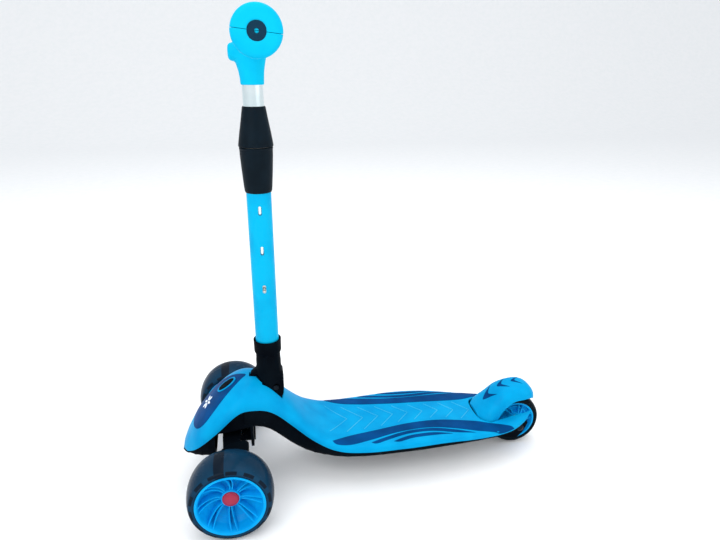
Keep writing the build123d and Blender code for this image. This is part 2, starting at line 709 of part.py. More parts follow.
with BuildPart() as truck_beam:
    with BuildSketch(Plane.XZ.offset(-44)):
        with Locations((front_x + 1, kingpin_z - 4)):
            Rectangle(2 * beam_half, 24)
    extrude(amount=88)
    for side in (-1, 1):
        with BuildSketch(Plane.XZ.offset(side * 44)):
            with Locations((front_x + 1, kingpin_z - 4)):
                Rectangle(2 * beam_half, 24)
        with BuildSketch(Plane.XZ.offset(side * 84)):
            with Locations((front_x + 1, axle_z + 6)):
                Rectangle(2 * beam_half - 3, 26)
        loft(ruled=True)
        low, high = sorted((side * 84, side * arm_reach))
        add(turned(rod(arm_boss_radius, low, high), (front_x, 0, axle_z)))
    add(turned(rod(sleeve_radius, -sleeve_half, sleeve_half), *kingpin))
    add(cut_box(at_axle(-60, -20, 90), at_axle(60, 20, 130)), mode=Mode.SUBTRACT)
    add(turned(rod(pivot_clearance, sleeve_half, sleeve_half + 30), *kingpin), mode=Mode.SUBTRACT)
    add(turned(rod(pivot_clearance, -sleeve_half - 30, -sleeve_half), *kingpin), mode=Mode.SUBTRACT)
    add(turned(rod(sleeve_radius, -sleeve_half, sleeve_half), *kingpin))
    add(turned(rod(bush_radius, -sleeve_half - 2, sleeve_half + 2), *kingpin), mode=Mode.SUBTRACT)
    add(turned(rod(axle_radius, -arm_reach - 5, -arm_reach + 34), (front_x, 0, axle_z)), mode=Mode.SUBTRACT)
    add(turned(rod(axle_radius, arm_reach - 34, arm_reach + 5), (front_x, 0, axle_z)), mode=Mode.SUBTRACT)
save(truck_beam.part, "truck_beam")

flange = 1.5
bush_outline = [(axle_radius + running_gap, -sleeve_half - flange), (bush_radius + 2.5, -sleeve_half - flange),
                (bush_radius + 2.5, -sleeve_half), (bush_radius, -sleeve_half), (bush_radius, sleeve_half),
                (bush_radius + 2.5, sleeve_half), (bush_radius + 2.5, sleeve_half + flange),
                (axle_radius + running_gap, sleeve_half + flange)]
save(turned(bush_outline, *kingpin), "kingpin_bush")
save(turned(rod(axle_radius, -kingpin_half, kingpin_half + 2), *kingpin), "kingpin")

steer_spring_y = 29.0
spring_low = kingpin_z + 8
steer_wire = 0.8
with BuildPart() as steer_springs:
    for side in (-1, 1):
        foot = at_axle(1, side * steer_spring_y, spring_low + steer_wire)
        add(coil(foot, (0, 0, 1), 5.5, steer_wire, roof_z - spring_low - 2 * steer_wire, 4))
save(steer_springs.part, "steer_springs")

# ---------------------------------------------------------------- front wheels
rim_inner = 41.0
rim_outer = 45.0
lip_radius = 48.0
lip_width = 1.4
core_radius = 49.2
core_half = 22.0
inner_bearing = -24.0
outer_bearing = -0.5
boss_top = 11.0
boss_radius = 13.5
rib_count = 8
nut_radius = 7.0
cap_low = outer_bearing + bearing_width
nut_low = cap_low + 0.3


def rib_web(centre, inner, outer, half_height, sweep, twin_angle, count, thickness, facing):
    """Pairs of curved spokes between two radii, standing on both sides of the wheel's middle plane."""
    plane = Plane(origin=centre, x_dir=(1, 0, 0), z_dir=(0, facing, 0))
    with BuildPart() as web:
        with BuildSketch(plane):
            for pair in range(count):
                for twin in (-1, 1):
                    start = 2 * pi * pair / count + twin * radians(twin_angle) / 2
                    stops = [(inner, 0.0), ((inner + outer) / 2, sweep * 0.35), (outer, sweep)]
                    points = [(r * cos(start + radians(turn)), r * sin(start + radians(turn))) for r, turn in stops]
                    with BuildLine():
                        ThreePointArc(*points)
                    trace(line_width=thickness)
        extrude(amount=half_height, both=True)
    return web.part


for side, name in ((-1, "left"), (1, "right")):
    centre = (front_x, side * wheel_y, axle_z)

    def place(outline):
        """Turn an outline whose second value runs outwards from the wheel's middle plane."""
        return turned([(r, side * y) for r, y in outline], centre)

    with BuildPart() as tyre:
        with BuildSketch(Plane(origin=centre, x_dir=(1, 0, 0), z_dir=(0, 0, 1))):
            with BuildLine():
                h = front_tyre_half
                tread = Spline((lip_radius + 5, -h - 0.6), (front_wheel_radius - 1.6, -0.68 * h),
                               (front_wheel_radius, 0), (front_wheel_radius - 1.6, 0.68 * h), (lip_radius + 5, h + 0.6))
                Polyline(tread @ 1, (lip_radius + 0.6, h), (rim_outer, h), (rim_outer, core_half),
                         (core_radius, core_half), (core_radius, -core_half), (rim_outer, -core_half),
                         (rim_outer, -h), (lip_radius + 0.6, -h), tread @ 0)
            make_face()
        revolve(axis=Axis(centre, (0, 1, 0)))
    save(tyre.part, f"front_tyre_{name}")

    with BuildPart() as core:
        add(place(ring(core_radius, rim_outer, -core_half, core_half)))
        with BuildSketch(Plane(origin=centre, x_dir=(1, 0, 0), z_dir=(0, 1, 0))):
            with PolarLocations(core_radius, 12):
                Rectangle(12, 9)
        extrude(amount=core_half - 4, both=True, mode=Mode.SUBTRACT)
        add(place(ring(core_radius, rim_outer, -4, 4)))
    save(core.part, f"light_core_{name}")

    with BuildPart() as hub:
        h = front_tyre_half
        add(place([(rim_inner, -h - lip_width), (lip_radius, -h - lip_width), (lip_radius, -h), (rim_outer, -h),
                   (rim_outer, h), (lip_radius, h), (lip_radius, h + lip_width), (rim_inner, h + lip_width)]))
        add(place([(boss_radius - 1, -3), (rim_inner + 1, -3), (rim_inner + 1, 3), (boss_radius - 1, 3)]))
        add(rib_web(centre, boss_radius - 0.5, rim_inner + 1, 20.0, 22, 15, rib_count, 2.2, side))
        # the spokes fall away to the boss like a dish
        add(place([(0, 8.5), (20, 9.5), (30, 14.5), (38, 20.5), (38, 30), (0, 30)]), mode=Mode.SUBTRACT)
        add(place(rod(boss_radius, inner_bearing, boss_top)))
        add(place(rod(bearing_radius - 4, -30, 30)), mode=Mode.SUBTRACT)
        add(place(rod(bearing_radius, inner_bearing - 1, inner_bearing + bearing_width)), mode=Mode.SUBTRACT)
        add(place(rod(bearing_radius, outer_bearing, 30)), mode=Mode.SUBTRACT)
    save(hub.part, f"front_hub_{name}")

    with BuildPart() as bearings:
        for low in (inner_bearing, outer_bearing):
            add(place(ring(bearing_radius, axle_radius + running_gap, low, low + bearing_width)))
    save(bearings.part, f"front_bearings_{name}")
    spacer_low = inner_bearing + bearing_width
    save(place(ring(6.5, axle_radius + running_gap, spacer_low, outer_bearing)), f"bearing_spacer_{name}")

    save(place([(0, 14.6), (0, 16), (5, 15.6), (9, 14), (11.8, boss_top + 0.4), (11.8, boss_top + running_gap),
                (bearing_radius, boss_top + running_gap), (bearing_radius, cap_low), (8.6, cap_low),
                (8.6, boss_top + 0.2), (6.5, 13.2)]), f"hub_cap_{name}")
shaft_start = arm_reach - 30
with BuildPart() as front_axles:
    for side in (-1, 1):
        low, high = sorted((side * shaft_start, side * (wheel_y + nut_low + 6.4)))
        add(turned(rod(axle_radius, low, high), (front_x, 0, axle_z)))
save(front_axles.part, "front_axles")
with BuildPart() as front_nuts:
    for side in (-1, 1):
        nut_plane = Plane(origin=(front_x, side * (wheel_y + nut_low), axle_z), x_dir=(1, 0, 0), z_dir=(0, side, 0))
        with BuildSketch(nut_plane):
            RegularPolygon(nut_radius, 6)
            Circle(axle_radius, mode=Mode.SUBTRACT)
        extrude(amount=5.2)
save(front_nuts.part, "front_nuts")

# ---------------------------------------------------------------- rear wheel
rear_centre = (rear_x, 0, rear_z)
rear_rim_outer = 34.0
rear_rim_inner = 30.5
spacer_gap = 0.3
with BuildPart() as rear_tyre:
    with BuildSketch(Plane(origin=rear_centre, x_dir=(1, 0, 0), z_dir=(0, 0, 1))):
        with BuildLine():
            h = rear_tyre_half
            tread = Spline((rear_rim_outer + 5, -h), (rear_wheel_radius - 0.9, -0.6 * h), (rear_wheel_radius, 0),
                           (rear_wheel_radius - 0.9, 0.6 * h), (rear_rim_outer + 5, h))
            Polyline(tread @ 1, (rear_rim_outer, h - 1), (rear_rim_outer, 1 - h), tread @ 0)
        make_face()
    revolve(axis=Axis(rear_centre, (0, 1, 0)))
save(rear_tyre.part, "rear_tyre")

with BuildPart() as rear_hub:
    h = rear_tyre_half - 1
    add(turned(ring(rear_rim_outer, rear_rim_inner, -h, h), rear_centre))
    add(turned(ring(rear_rim_inner + 1, boss_radius - 1, -2, 2), rear_centre))
    add(turned(rod(boss_radius, -h, h), rear_centre))
    add(rib_web(rear_centre, boss_radius - 0.5, rear_rim_inner + 1, 8.0, 20, 18, 6, 2.2, -1))
    add(turned(rod(bearing_radius - 4, -20, 20), rear_centre), mode=Mode.SUBTRACT)
    for low in (-h - 1, h - bearing_width):
        add(turned(rod(bearing_radius, low, low + bearing_width + 1), rear_centre), mode=Mode.SUBTRACT)
save(rear_hub.part, "rear_hub")

with BuildPart() as rear_bearings:
    for low in (-h, h - bearing_width):
        add(turned(ring(bearing_radius, axle_radius + running_gap, low, low + bearing_width), rear_centre))
save(rear_bearings.part, "rear_bearings")
save(turned(ring(6.5, axle_radius + running_gap, bearing_width - h, h - bearing_width), rear_centre),
     "rear_bearing_spacer")

with BuildPart() as rear_spacers:
    for low, high in ((-arm_inner, -rear_tyre_half - spacer_gap), (rear_tyre_half + spacer_gap, arm_inner)):
        add(turned(ring(7, axle_radius, low, high), rear_centre))
save(rear_spacers.part, "rear_spacers")
save(turned([(0, -arm_outer - 2.6), (3.5, -arm_outer - 2.6), (6.2, -arm_outer - 1.4), (6.2, -arm_outer),
             (axle_radius, -arm_outer), (axle_radius, arm_outer + 0.2), (0, arm_outer + 0.2)], rear_centre), "rear_axle")
with BuildPart() as rear_nut:
    with BuildSketch(Plane(origin=(rear_x, arm_outer, rear_z), x_dir=(1, 0, 0), z_dir=(0, 1, 0))):
        Circle(6.2)
    extrude(amount=2.6)
    add(turned(rod(axle_radius, arm_outer - 1, arm_outer + 0.2), rear_centre), mode=Mode.SUBTRACT)
save(rear_nut.part, "rear_nut")

# ---------------------------------------------------------------- foot brake
FENDER_WIDTH = [(-71, 20), (-65, 30.5), (-56, 36.8), (-44, 34.2), (-30, 31), (-12, 28.3), (8, 27.3), (21, 23), (29, 15),
                (32.5, 8)]
FENDER_CROWN = [(-71, 69), (-65, 75), (-55, 85), (-44, 97.5), (-32, 107.5), (-20, 112.5), (-8, 115), (6, 115.5),
                (16, 112.5), (23, 107.5), (29, 100), (32.5, 94)]
FENDER_EDGE = [(-71, 64), (-65, 60), (-56, 58), (-44, 60), (-30, 78), (-12, 90), (8, 93), (21, 92), (29, 87),
               (32.5, 84)]
FENDER_STATIONS = [-71, -69, -66, -62, -56, -50, -44, -36, -28, -18, -6, 6, 15, 22, 27, 30.5, 32.5]


def fender_loft(stations, inset, lift):
    """The fender's closed form, read along the scooter from the rear axle."""
    with BuildPart() as body:
        for x in stations:
            base = smooth(FENDER_EDGE, x) - lift
            plane = Plane(origin=(rear_x + x, 0, base), x_dir=(0, 1, 0), z_dir=(1, 0, 0))
            points = arch(smooth(FENDER_WIDTH, x) - inset, smooth(FENDER_CROWN, x) - inset - base, 2.3)
            with BuildSketch(plane):
                with BuildLine():
                    Spline(*points)
                    Line(points[-1], points[0])
                make_face()
        loft(ruled=True)
    return body.part


fender_wall = 2.6
pad_thickness = 5.0
pad_radius = rear_wheel_radius + pad_clearance
fender_outer = fender_loft(FENDER_STATIONS, 0, 0)
with BuildPart() as brake_fender:
    add(fender_outer)
    add(fender_loft([-71 + fender_wall] + FENDER_STATIONS[2:-1], fender_wall, 1.0), mode=Mode.SUBTRACT)
    for side in (-1, 1):
        low, high = sorted((side * 7, side * 13))
        lug = [(-70, 61), (-67, 50.5), (-60, 50.5), (-58, 58), (-56, 82), (-60, 78), (-66, 72)]
        add(side_plate([(wheelbase + x, z) for x, z in lug], low, high))
    add(side_plate([(wheelbase + x, z) for x, z in ((-14, 90), (10, 90), (10, 112), (-4, 113), (-14, 112))], -10, 10))
    add(turned(rod(pad_radius + pad_thickness, -20, 20), rear_centre), mode=Mode.SUBTRACT)
    add(turned(rod(brake_pin_radius + running_gap, -30, 30), (brake_x, 0, brake_pivot_z)), mode=Mode.SUBTRACT)
save(brake_fender.part, "brake_fender")

with BuildPart() as brake_pad:
    add(turned(ring(pad_radius + pad_thickness, pad_radius, -10, 10), rear_centre))
    add(cut_box((rear_x - 14, -20, rear_z), (rear_x + 10, 20, rear_z + 90)), mode=Mode.INTERSECT)
save(brake_pad.part, "brake_pad")

save(turned(rod(brake_pin_radius, -21, 21), (brake_x, 0, brake_pivot_z)), "brake_pin")
save(coil((brake_x, -5, brake_pivot_z), (0, 1, 0), brake_pin_radius + 1.4, 0.6, 10, 6), "brake_spring")


CHEVRONS = [(-55, 18, 14), (-32, 17, 12), (-7.7, 16, 10)]
with BuildPart() as fender_skin:
    add(fender_loft(FENDER_STATIONS, -inlay_height, 0))
    add(fender_outer, mode=Mode.SUBTRACT)
with BuildPart() as fender_chevrons:
    with BuildSketch(Plane.XY.offset(60)):
        for tip, reach, spread in CHEVRONS:
            with BuildLine():
                Polyline((rear_x + tip - 5, 0), (rear_x + tip + reach - 2, spread), (rear_x + tip + reach, spread - 1),
                         (rear_x + tip + 5, 0), (rear_x + tip + reach, 1 - spread), (rear_x + tip + reach - 2, -spread),
                         close=True)
            make_face()
    extrude(amount=80)
    add(fender_skin.part, mode=Mode.INTERSECT)
save(fender_chevrons.part, "fender_chevrons")

# ---------------------------------------------------------------- stiffener and screws under the board
with BuildPart() as stiffener:
    with BuildSketch(Plane.XY.offset(plate_low)):
        with Locations((front_x + plate_middle, 0)):
            RectangleRounded(210, 44, 6)
            with GridLocations(150, 26, 2, 2):
                Circle(deck_screw_radius, mode=Mode.SUBTRACT)
    extrude(amount=plate_thickness)
save(stiffener.part, "stiffener")

with BuildPart() as deck_screws:
    for screw_x, screw_y in DECK_SCREWS:
        add(turned([(0, land_height - 1.8), (3.6, land_height - 1.8), (4, land_height), (deck_screw_radius, land_height),
                    (deck_screw_radius, plate_low + 4), (0, plate_low + 4)], at_axle(screw_x, screw_y), (0, 0, 1)))
save(deck_screws.part, "deck_screws")
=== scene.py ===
"""Looks of a three-wheeled kick scooter for children, built over its fixed CAD frame.

Every piece is in metres, in the frame's own axes: -X is forward, +X the tail, +Z up. The sizes in the
classes are in millimetres, and stations along the scooter are measured from the front axle.
"""
import logging
import math
from dataclasses import dataclass, field
from enum import Enum
from typing import Iterable, Optional, Sequence, Union

import bmesh
import bpy
from mathutils import Matrix, Vector


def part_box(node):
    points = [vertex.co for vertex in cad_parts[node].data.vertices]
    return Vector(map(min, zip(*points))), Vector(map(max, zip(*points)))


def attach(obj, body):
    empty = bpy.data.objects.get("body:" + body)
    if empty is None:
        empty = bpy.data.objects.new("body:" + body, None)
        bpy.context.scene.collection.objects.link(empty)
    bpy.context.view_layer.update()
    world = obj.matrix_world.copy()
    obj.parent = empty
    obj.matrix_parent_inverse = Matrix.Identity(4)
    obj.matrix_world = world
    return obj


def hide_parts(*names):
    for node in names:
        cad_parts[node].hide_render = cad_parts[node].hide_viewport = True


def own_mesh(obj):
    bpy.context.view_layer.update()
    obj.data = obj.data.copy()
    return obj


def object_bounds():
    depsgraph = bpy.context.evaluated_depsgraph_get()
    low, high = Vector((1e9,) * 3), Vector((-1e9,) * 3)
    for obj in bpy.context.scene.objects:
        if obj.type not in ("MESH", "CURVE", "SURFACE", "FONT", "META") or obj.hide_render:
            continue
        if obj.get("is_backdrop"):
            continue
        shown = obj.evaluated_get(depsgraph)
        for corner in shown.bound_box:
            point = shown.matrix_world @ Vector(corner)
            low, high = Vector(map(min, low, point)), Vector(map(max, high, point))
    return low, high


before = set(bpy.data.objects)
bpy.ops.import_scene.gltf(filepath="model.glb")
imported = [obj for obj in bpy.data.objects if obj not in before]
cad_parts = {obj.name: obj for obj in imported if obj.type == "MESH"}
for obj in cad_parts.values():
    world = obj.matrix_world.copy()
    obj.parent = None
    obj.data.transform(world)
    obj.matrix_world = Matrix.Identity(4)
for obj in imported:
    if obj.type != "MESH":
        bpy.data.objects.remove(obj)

MM = 0.001
Knots = Sequence[tuple[float, float]]
Outline = Sequence[tuple[float, float]]
log = logging.getLogger("scooter")


# ------------------------------------------------------------------ shader helpers
def linear(code: str) -> tuple[float, float, float, float]:
    """Turn an sRGB hex colour to linear light.

    Args:
        code: six hex digits, with or without a leading hash.

    Returns:
        Red, green, blue and an alpha of one.
    """
    digits = code.lstrip("#")
    channels = []
    for i in (0, 2, 4):
        value = int(digits[i:i + 2], 16) / 255
        channels.append(value / 12.92 if value <= 0.04045 else ((value + 0.055) / 1.055) ** 2.4)
    return channels[0], channels[1], channels[2], 1.0


def add_node(tree: bpy.types.NodeTree, kind: str, settings: Optional[dict] = None,
             links: Optional[dict] = None) -> bpy.types.Node:
    """Add one node with its settings and links.

    Args:
        tree: the node tree that gets the node.
        kind: the node's type name.
        settings: values by input name or number, or by the name of one of the node's own properties.
        links: source sockets by input name or number.

    Returns:
        The new node.
    """
    node = tree.nodes.new(kind)
    for key, value in (settings or {}).items():
        if isinstance(key, str) and key.islower() and hasattr(node, key):
            setattr(node, key, value)
        else:
            node.inputs[key].default_value = value
    for key, source in (links or {}).items():
        tree.links.new(source, node.inputs[key])
    return node


def compute(tree: bpy.types.NodeTree, operation: str, *terms: Union[float, bpy.types.NodeSocket]
            ) -> bpy.types.NodeSocket:
    """Add one arithmetic node.

    Args:
        tree: the node tree.
        operation: the node's operation.
        terms: its inputs in order, each a number or a socket.

    Returns:
        The result's socket.
    """
    numbers = {k: term for k, term in enumerate(terms) if isinstance(term, (int, float))}
    sockets = {k: term for k, term in enumerate(terms) if k not in numbers}
    return add_node(tree, "ShaderNodeMath", {"operation": operation, **numbers}, sockets).outputs[0]


def ramp(tree: bpy.types.NodeTree, source: bpy.types.NodeSocket, stops: Sequence[tuple[float, str]]
         ) -> bpy.types.NodeSocket:
    """Map a factor to colours.

    Args:
        tree: the material's node tree.
        source: the factor.
        stops: (position, hex colour) pairs in rising order.

    Returns:
        The colour socket.
    """
    node = add_node(tree, "ShaderNodeValToRGB", links={0: source})
    elements = node.color_ramp.elements
    while len(elements) < len(stops):
        elements.new(0.5)
    for element, (position, code) in zip(elements, stops):
        element.position = position
        element.color = linear(code)
    return node.outputs[0]


def grain_scale(size_mm: float) -> float:
    """Noise scale whose features are about size_mm across, on Object coordinates in metres."""
    return 1.0 / (size_mm * MM)


# ------------------------------------------------------------------ finishes
@dataclass(frozen=True)
class Finish:
    """A moulded or coated surface: one colour with fine grain, soft mottling and worn gloss."""

    name: str
    colour: str
    shade: str
    slot: str
    roughness: float = 0.4
    gloss_spread: float = 0.06
    grain_mm: float = 0.8
    grain_height_mm: float = 0.02
    mottle_mm: float = 40.0
    metallic: float = 0.0
    ior: float = 1.22
    coat: float = 0.0
    coat_roughness: float = 0.1
    specular: float = 0.5

    def material(self) -> bpy.types.Material:
        """Build the material once and return it after that."""
        found = bpy.data.materials.get(self.name)
        if found:
            return found
        material = bpy.data.materials.new(self.name)
        material.use_nodes = True
        tree = material.node_tree
        tree.nodes.clear()
        out = add_node(tree, "ShaderNodeOutputMaterial")
        surface = add_node(tree, "ShaderNodeBsdfPrincipled", {
            "Metallic": self.metallic, "IOR": self.ior, "Coat Weight": self.coat,
            "Coat Roughness": self.coat_roughness, "Specular IOR Level": self.specular})
        tree.links.new(surface.outputs[0], out.inputs[0])
        coords = add_node(tree, "ShaderNodeTexCoord").outputs["Object"]
        tree.links.new(self.tint(tree, coords), surface.inputs["Base Color"])
        tree.links.new(self.gloss(tree, coords), surface.inputs["Roughness"])
        tree.links.new(self.relief(tree, coords), surface.inputs["Normal"])
        self.extra(tree, coords, surface)
        return material

    def tint(self, tree: bpy.types.NodeTree, coords: bpy.types.NodeSocket) -> bpy.types.NodeSocket:
        """Base colour: a slow drift between the two shades, as in a moulding's flow."""
        noise = add_node(tree, "ShaderNodeTexNoise", {"Scale": grain_scale(self.mottle_mm), "Detail": 3.0},
                         {"Vector": coords})
        return ramp(tree, noise.outputs[0], [(0.35, self.shade), (0.62, self.colour)])

    def gloss(self, tree: bpy.types.NodeTree, coords: bpy.types.NodeSocket) -> bpy.types.NodeSocket:
        """Roughness: duller and shinier patches from handling."""
        noise = add_node(tree, "ShaderNodeTexNoise", {"Scale": grain_scale(14.0), "Detail": 5.0},
                         {"Vector": coords})
        spread = add_node(tree, "ShaderNodeMapRange", {
            3: max(self.roughness - self.gloss_spread, 0.02), 4: self.roughness + self.gloss_spread},
            {0: noise.outputs[0]})
        return spread.outputs[0]

    def relief(self, tree: bpy.types.NodeTree, coords: bpy.types.NodeSocket) -> bpy.types.NodeSocket:
        """Normal: the fine grain left by the mould or the coating."""
        noise = add_node(tree, "ShaderNodeTexNoise", {"Scale": grain_scale(self.grain_mm), "Detail": 2.0},
                         {"Vector": coords})
        bump = add_node(tree, "ShaderNodeBump", {"Strength": 1.0, "Distance": self.grain_height_mm * MM},
                        {"Height": noise.outputs[0]})
        return bump.outputs[0]

    def extra(self, tree: bpy.types.NodeTree, coords: bpy.types.NodeSocket, surface: bpy.types.Node) -> None:
        """Further wiring for a particular finish."""


@dataclass(frozen=True)
class DrawnTube(Finish):
    """Polished and anodised aluminium tube: faint lines along the drawing direction, +Z."""

    line_mm: float = 0.5

    def relief(self, tree: bpy.types.NodeTree, coords: bpy.types.NodeSocket) -> bpy.types.NodeSocket:
        """Normal: long thin lines from polishing along the tube."""
        stretch = add_node(tree, "ShaderNodeMapping", {"Scale": (1.0, 1.0, 0.02)}, {"Vector": coords})
        noise = add_node(tree, "ShaderNodeTexNoise", {"Scale": grain_scale(self.line_mm), "Detail": 3.0},
                         {"Vector": stretch.outputs[0]})
        bump = add_node(tree, "ShaderNodeBump", {"Strength": 1.0, "Distance": self.grain_height_mm * MM},
                        {"Height": noise.outputs[0]})
        return bump.outputs[0]


@dataclass(frozen=True)
class CastTyre(Finish):
    """Smoky cast polyurethane over a light ring: a joint band and a row of windows show through.

    The pattern turns about the axle at (centre_x, centre_z); it is laid out by angle and by distance
    from the wheel's middle plane at centre_y.
    """

    centre: tuple[float, float, float] = (0.0, 0.0, 0.0)
    dark: str = "#0c131d"
    window_count: int = 14
    window_share: float = 0.62
    window_low_mm: float = 51.5
    window_high_mm: float = 55.8
    shoulder_mm: float = 21.0
    band_angle: float = 1.78
    band_half: float = 0.122
    density: float = 0.88
    edge_blend: float = 0.42
    whole_turns: float = 100.0
    deep: str = "#081e30"

    def tint(self, tree: bpy.types.NodeTree, coords: bpy.types.NodeSocket) -> bpy.types.NodeSocket:
        """Base colour: smoke that deepens where it is seen edge-on, darker under the band and in the windows."""
        weight = add_node(tree, "ShaderNodeLayerWeight", {"Blend": self.edge_blend})
        base = add_node(tree, "ShaderNodeMix", {"data_type": "RGBA", 7: linear(self.deep)},
                        {0: weight.outputs["Facing"], 6: super().tint(tree, coords)}).outputs[2]
        local = add_node(tree, "ShaderNodeMapping", {"Location": tuple(-v for v in self.centre)},
                         {"Vector": coords})
        across, along, up = add_node(tree, "ShaderNodeSeparateXYZ", links={0: local.outputs[0]}).outputs
        angle = compute(tree, "ARCTAN2", up, across)
        side = compute(tree, "ABSOLUTE", along)
        turns = compute(tree, "MULTIPLY", angle, self.window_count / (2 * math.pi))
        fraction = compute(tree, "FRACT", compute(tree, "ADD", turns, self.whole_turns))
        flat = add_node(tree, "ShaderNodeVectorMath", {"operation": "MULTIPLY", 1: (1.0, 0.0, 1.0)},
                        {0: local.outputs[0]})
        radius = add_node(tree, "ShaderNodeVectorMath", {"operation": "LENGTH"}, {0: flat.outputs[0]}).outputs[1]
        window = compute(tree, "LESS_THAN", fraction, self.window_share)
        for source, operation, limit in ((side, "GREATER_THAN", self.shoulder_mm),
                                         (radius, "GREATER_THAN", self.window_low_mm),
                                         (radius, "LESS_THAN", self.window_high_mm)):
            window = compute(tree, "MULTIPLY", window, compute(tree, operation, source, limit * MM))
        away = compute(tree, "ABSOLUTE", compute(tree, "SUBTRACT", angle, self.band_angle))
        band = compute(tree, "LESS_THAN", away, self.band_half)
        soft = compute(tree, "MULTIPLY", compute(tree, "MAXIMUM", window, band), self.density)
        mix = add_node(tree, "ShaderNodeMix", {"data_type": "RGBA", 7: linear(self.dark)}, {0: soft, 6: base})
        return mix.outputs[2]


class Palette:
    """The scooter's finishes, by what the real one is."""

    # Glossy injection-moulded ABS: clean colour with a soft sheen and almost no visible grain.
    abs_blue = Finish("abs_moulded_bright_blue", "#049ad0", "#028cc5", "abs_blue", 0.36, grain_mm=1.6,
                      grain_height_mm=0.006, coat=0.02, coat_roughness=0.22, specular=0.06)
    # The raised ribs of the board, painted a little paler than the cover: a painted highlight where light catches
    # their tops.
    abs_rib = Finish("abs_moulded_rib_blue_painted_highlight", "#3fafd6", "#2ba2cf", "abs_blue", 0.42, grain_mm=1.4,
                     grain_height_mm=0.01, specular=0.1)
    # The same ABS in the hubs, a little deeper in the pockets.
    abs_hub = Finish("abs_moulded_hub_blue", "#05a6ea", "#0390d2", "abs_blue", 0.3, grain_mm=2.0,
                     grain_height_mm=0.004, coat=0.04, coat_roughness=0.15, specular=0.12)
    # In-mould decorated navy panels: satin, flatter than the cover around them.
    abs_navy = Finish("abs_moulded_navy", "#03447f", "#02386b", "abs_navy", 0.4, grain_mm=1.2,
                      grain_height_mm=0.008, specular=0.06)
    # Spark-eroded glass-filled nylon: dull black that greys at grazing angles.
    nylon_black = Finish("nylon_glass_filled_black", "#080f15", "#05080e", "nylon_black", 0.5, grain_mm=1.1,
                         grain_height_mm=0.03, specular=0.05)
    # The twist clamp is the same nylon with a finer texture and a bluish cast.
    nylon_clamp = Finish("nylon_moulded_blue_black", "#0d1a23", "#09131a", "nylon_black", 0.44, grain_mm=0.9,
                         grain_height_mm=0.015, specular=0.2)
    # Soft polypropylene grip: bright, evenly lit, very slightly waxy.
    pp_grip = Finish("polypropylene_moulded_cyan", "#09b8dd", "#05afd9", "pp_blue_grip", 0.44, grain_mm=1.4,
                     grain_height_mm=0.008, specular=0.08)
    # End plug of the bar: slate polyethylene.
    plug_slate = Finish("polyethylene_moulded_slate", "#153448", "#0f293b", "nylon_black", 0.45, grain_mm=1.0,
                        specular=0.1)
    # Powder coat on steel tube: slight orange peel under a clear gloss.
    paint_blue = Finish("powder_coat_gloss_cyan", "#06aeda", "#05a1d2", "paint_blue", 0.28, grain_mm=2.4,
                        grain_height_mm=0.012, coat=0.05, coat_roughness=0.08, specular=0.08)
    # Anodised aluminium mast: bright and almost white, with drawing lines.
    aluminium = DrawnTube("aluminium_anodised_polished", "#e8f4f6", "#d6e8ec", "aluminium_mast", 0.24,
                          metallic=1.0, grain_height_mm=0.004)
    # Zinc plate: pale grey with a faint yellow passivation.
    zinc = Finish("steel_zinc_plated", "#b6babd", "#a2a7a6", "steel_zinc", 0.34, metallic=1.0, grain_mm=0.6,
                  grain_height_mm=0.006)
    # Black-oxide steel of the rear axle's head and nut.
    oxide = Finish("steel_black_oxide", "#20262c", "#161b20", "steel_zinc", 0.4, metallic=1.0, grain_mm=0.6,
                   grain_height_mm=0.006)
    # Ground bearing steel: clean and dark in reflection.
    bearing = Finish("bearing_steel_ground", "#c4c7cb", "#b3b6ba", "bearing_steel", 0.18, metallic=1.0,
                     grain_mm=0.5, grain_height_mm=0.002)
    # Oil-tempered spring wire: dull blue-grey.
    spring = Finish("spring_wire_oil_tempered", "#5d6166", "#4a4d52", "spring_steel", 0.38, metallic=1.0,
                    grain_mm=0.6, grain_height_mm=0.004)
    # Natural nylon: off-white, slightly waxy.
    nylon_natural = Finish("nylon_natural_moulded", "#dcd8cc", "#cfcbbe", "nylon_natural", 0.45, grain_mm=1.0)
    # Glossy red moulded cap.
    abs_red = Finish("abs_moulded_red", "#a83249", "#992a41", "abs_red", 0.22, grain_mm=2.0,
                     grain_height_mm=0.004, coat=0.2, coat_roughness=0.06, specular=0.25)
    # White printed badge under a satin lacquer.
    print_white = Finish("pad_print_white", "#eef4fb", "#e2ecf6", "abs_white", 0.4, grain_mm=0.8,
                         grain_height_mm=0.004)
    # Black brake rubber.
    rubber = Finish("rubber_black_moulded", "#0d0f10", "#070808", "rubber_black", 0.7, grain_mm=0.7,
                    grain_height_mm=0.03, specular=0.2)
    # Dark cast polyurethane of the rear tyre.
    pu_dark = Finish("polyurethane_cast_dark", "#021119", "#010c13", "pu_dark", 0.34, grain_mm=1.5,
                     grain_height_mm=0.006, coat=0.03, coat_roughness=0.12, specular=0.12)


# ------------------------------------------------------------------ mesh helpers
def smooth(knots: Knots, x: float) -> float:
    """Read a gentle curve through knots.

    Args:
        knots: (x, value) pairs in rising order.
        x: where to read it.

    Returns:
        The curve's value.
    """
    index = 0
    while index < len(knots) - 2 and x > knots[index + 1][0]:
        index += 1

    def slope(k: int) -> float:
        """Slope at a knot, from its two neighbours."""
        left, right = max(k - 1, 0), min(k + 1, len(knots) - 1)
        return (knots[right][1] - knots[left][1]) / (knots[right][0] - knots[left][0])

    (x0, v0), (x1, v1) = knots[index], knots[index + 1]
    span = x1 - x0
    t = (x - x0) / span
    rise = t * t * (3 - 2 * t)
    lead = t * (1 - t) * (1 - t) * slope(index) * span
    trail = t * t * (t - 1) * slope(index + 1) * span
    return v0 * (1 - rise) + v1 * rise + lead + trail


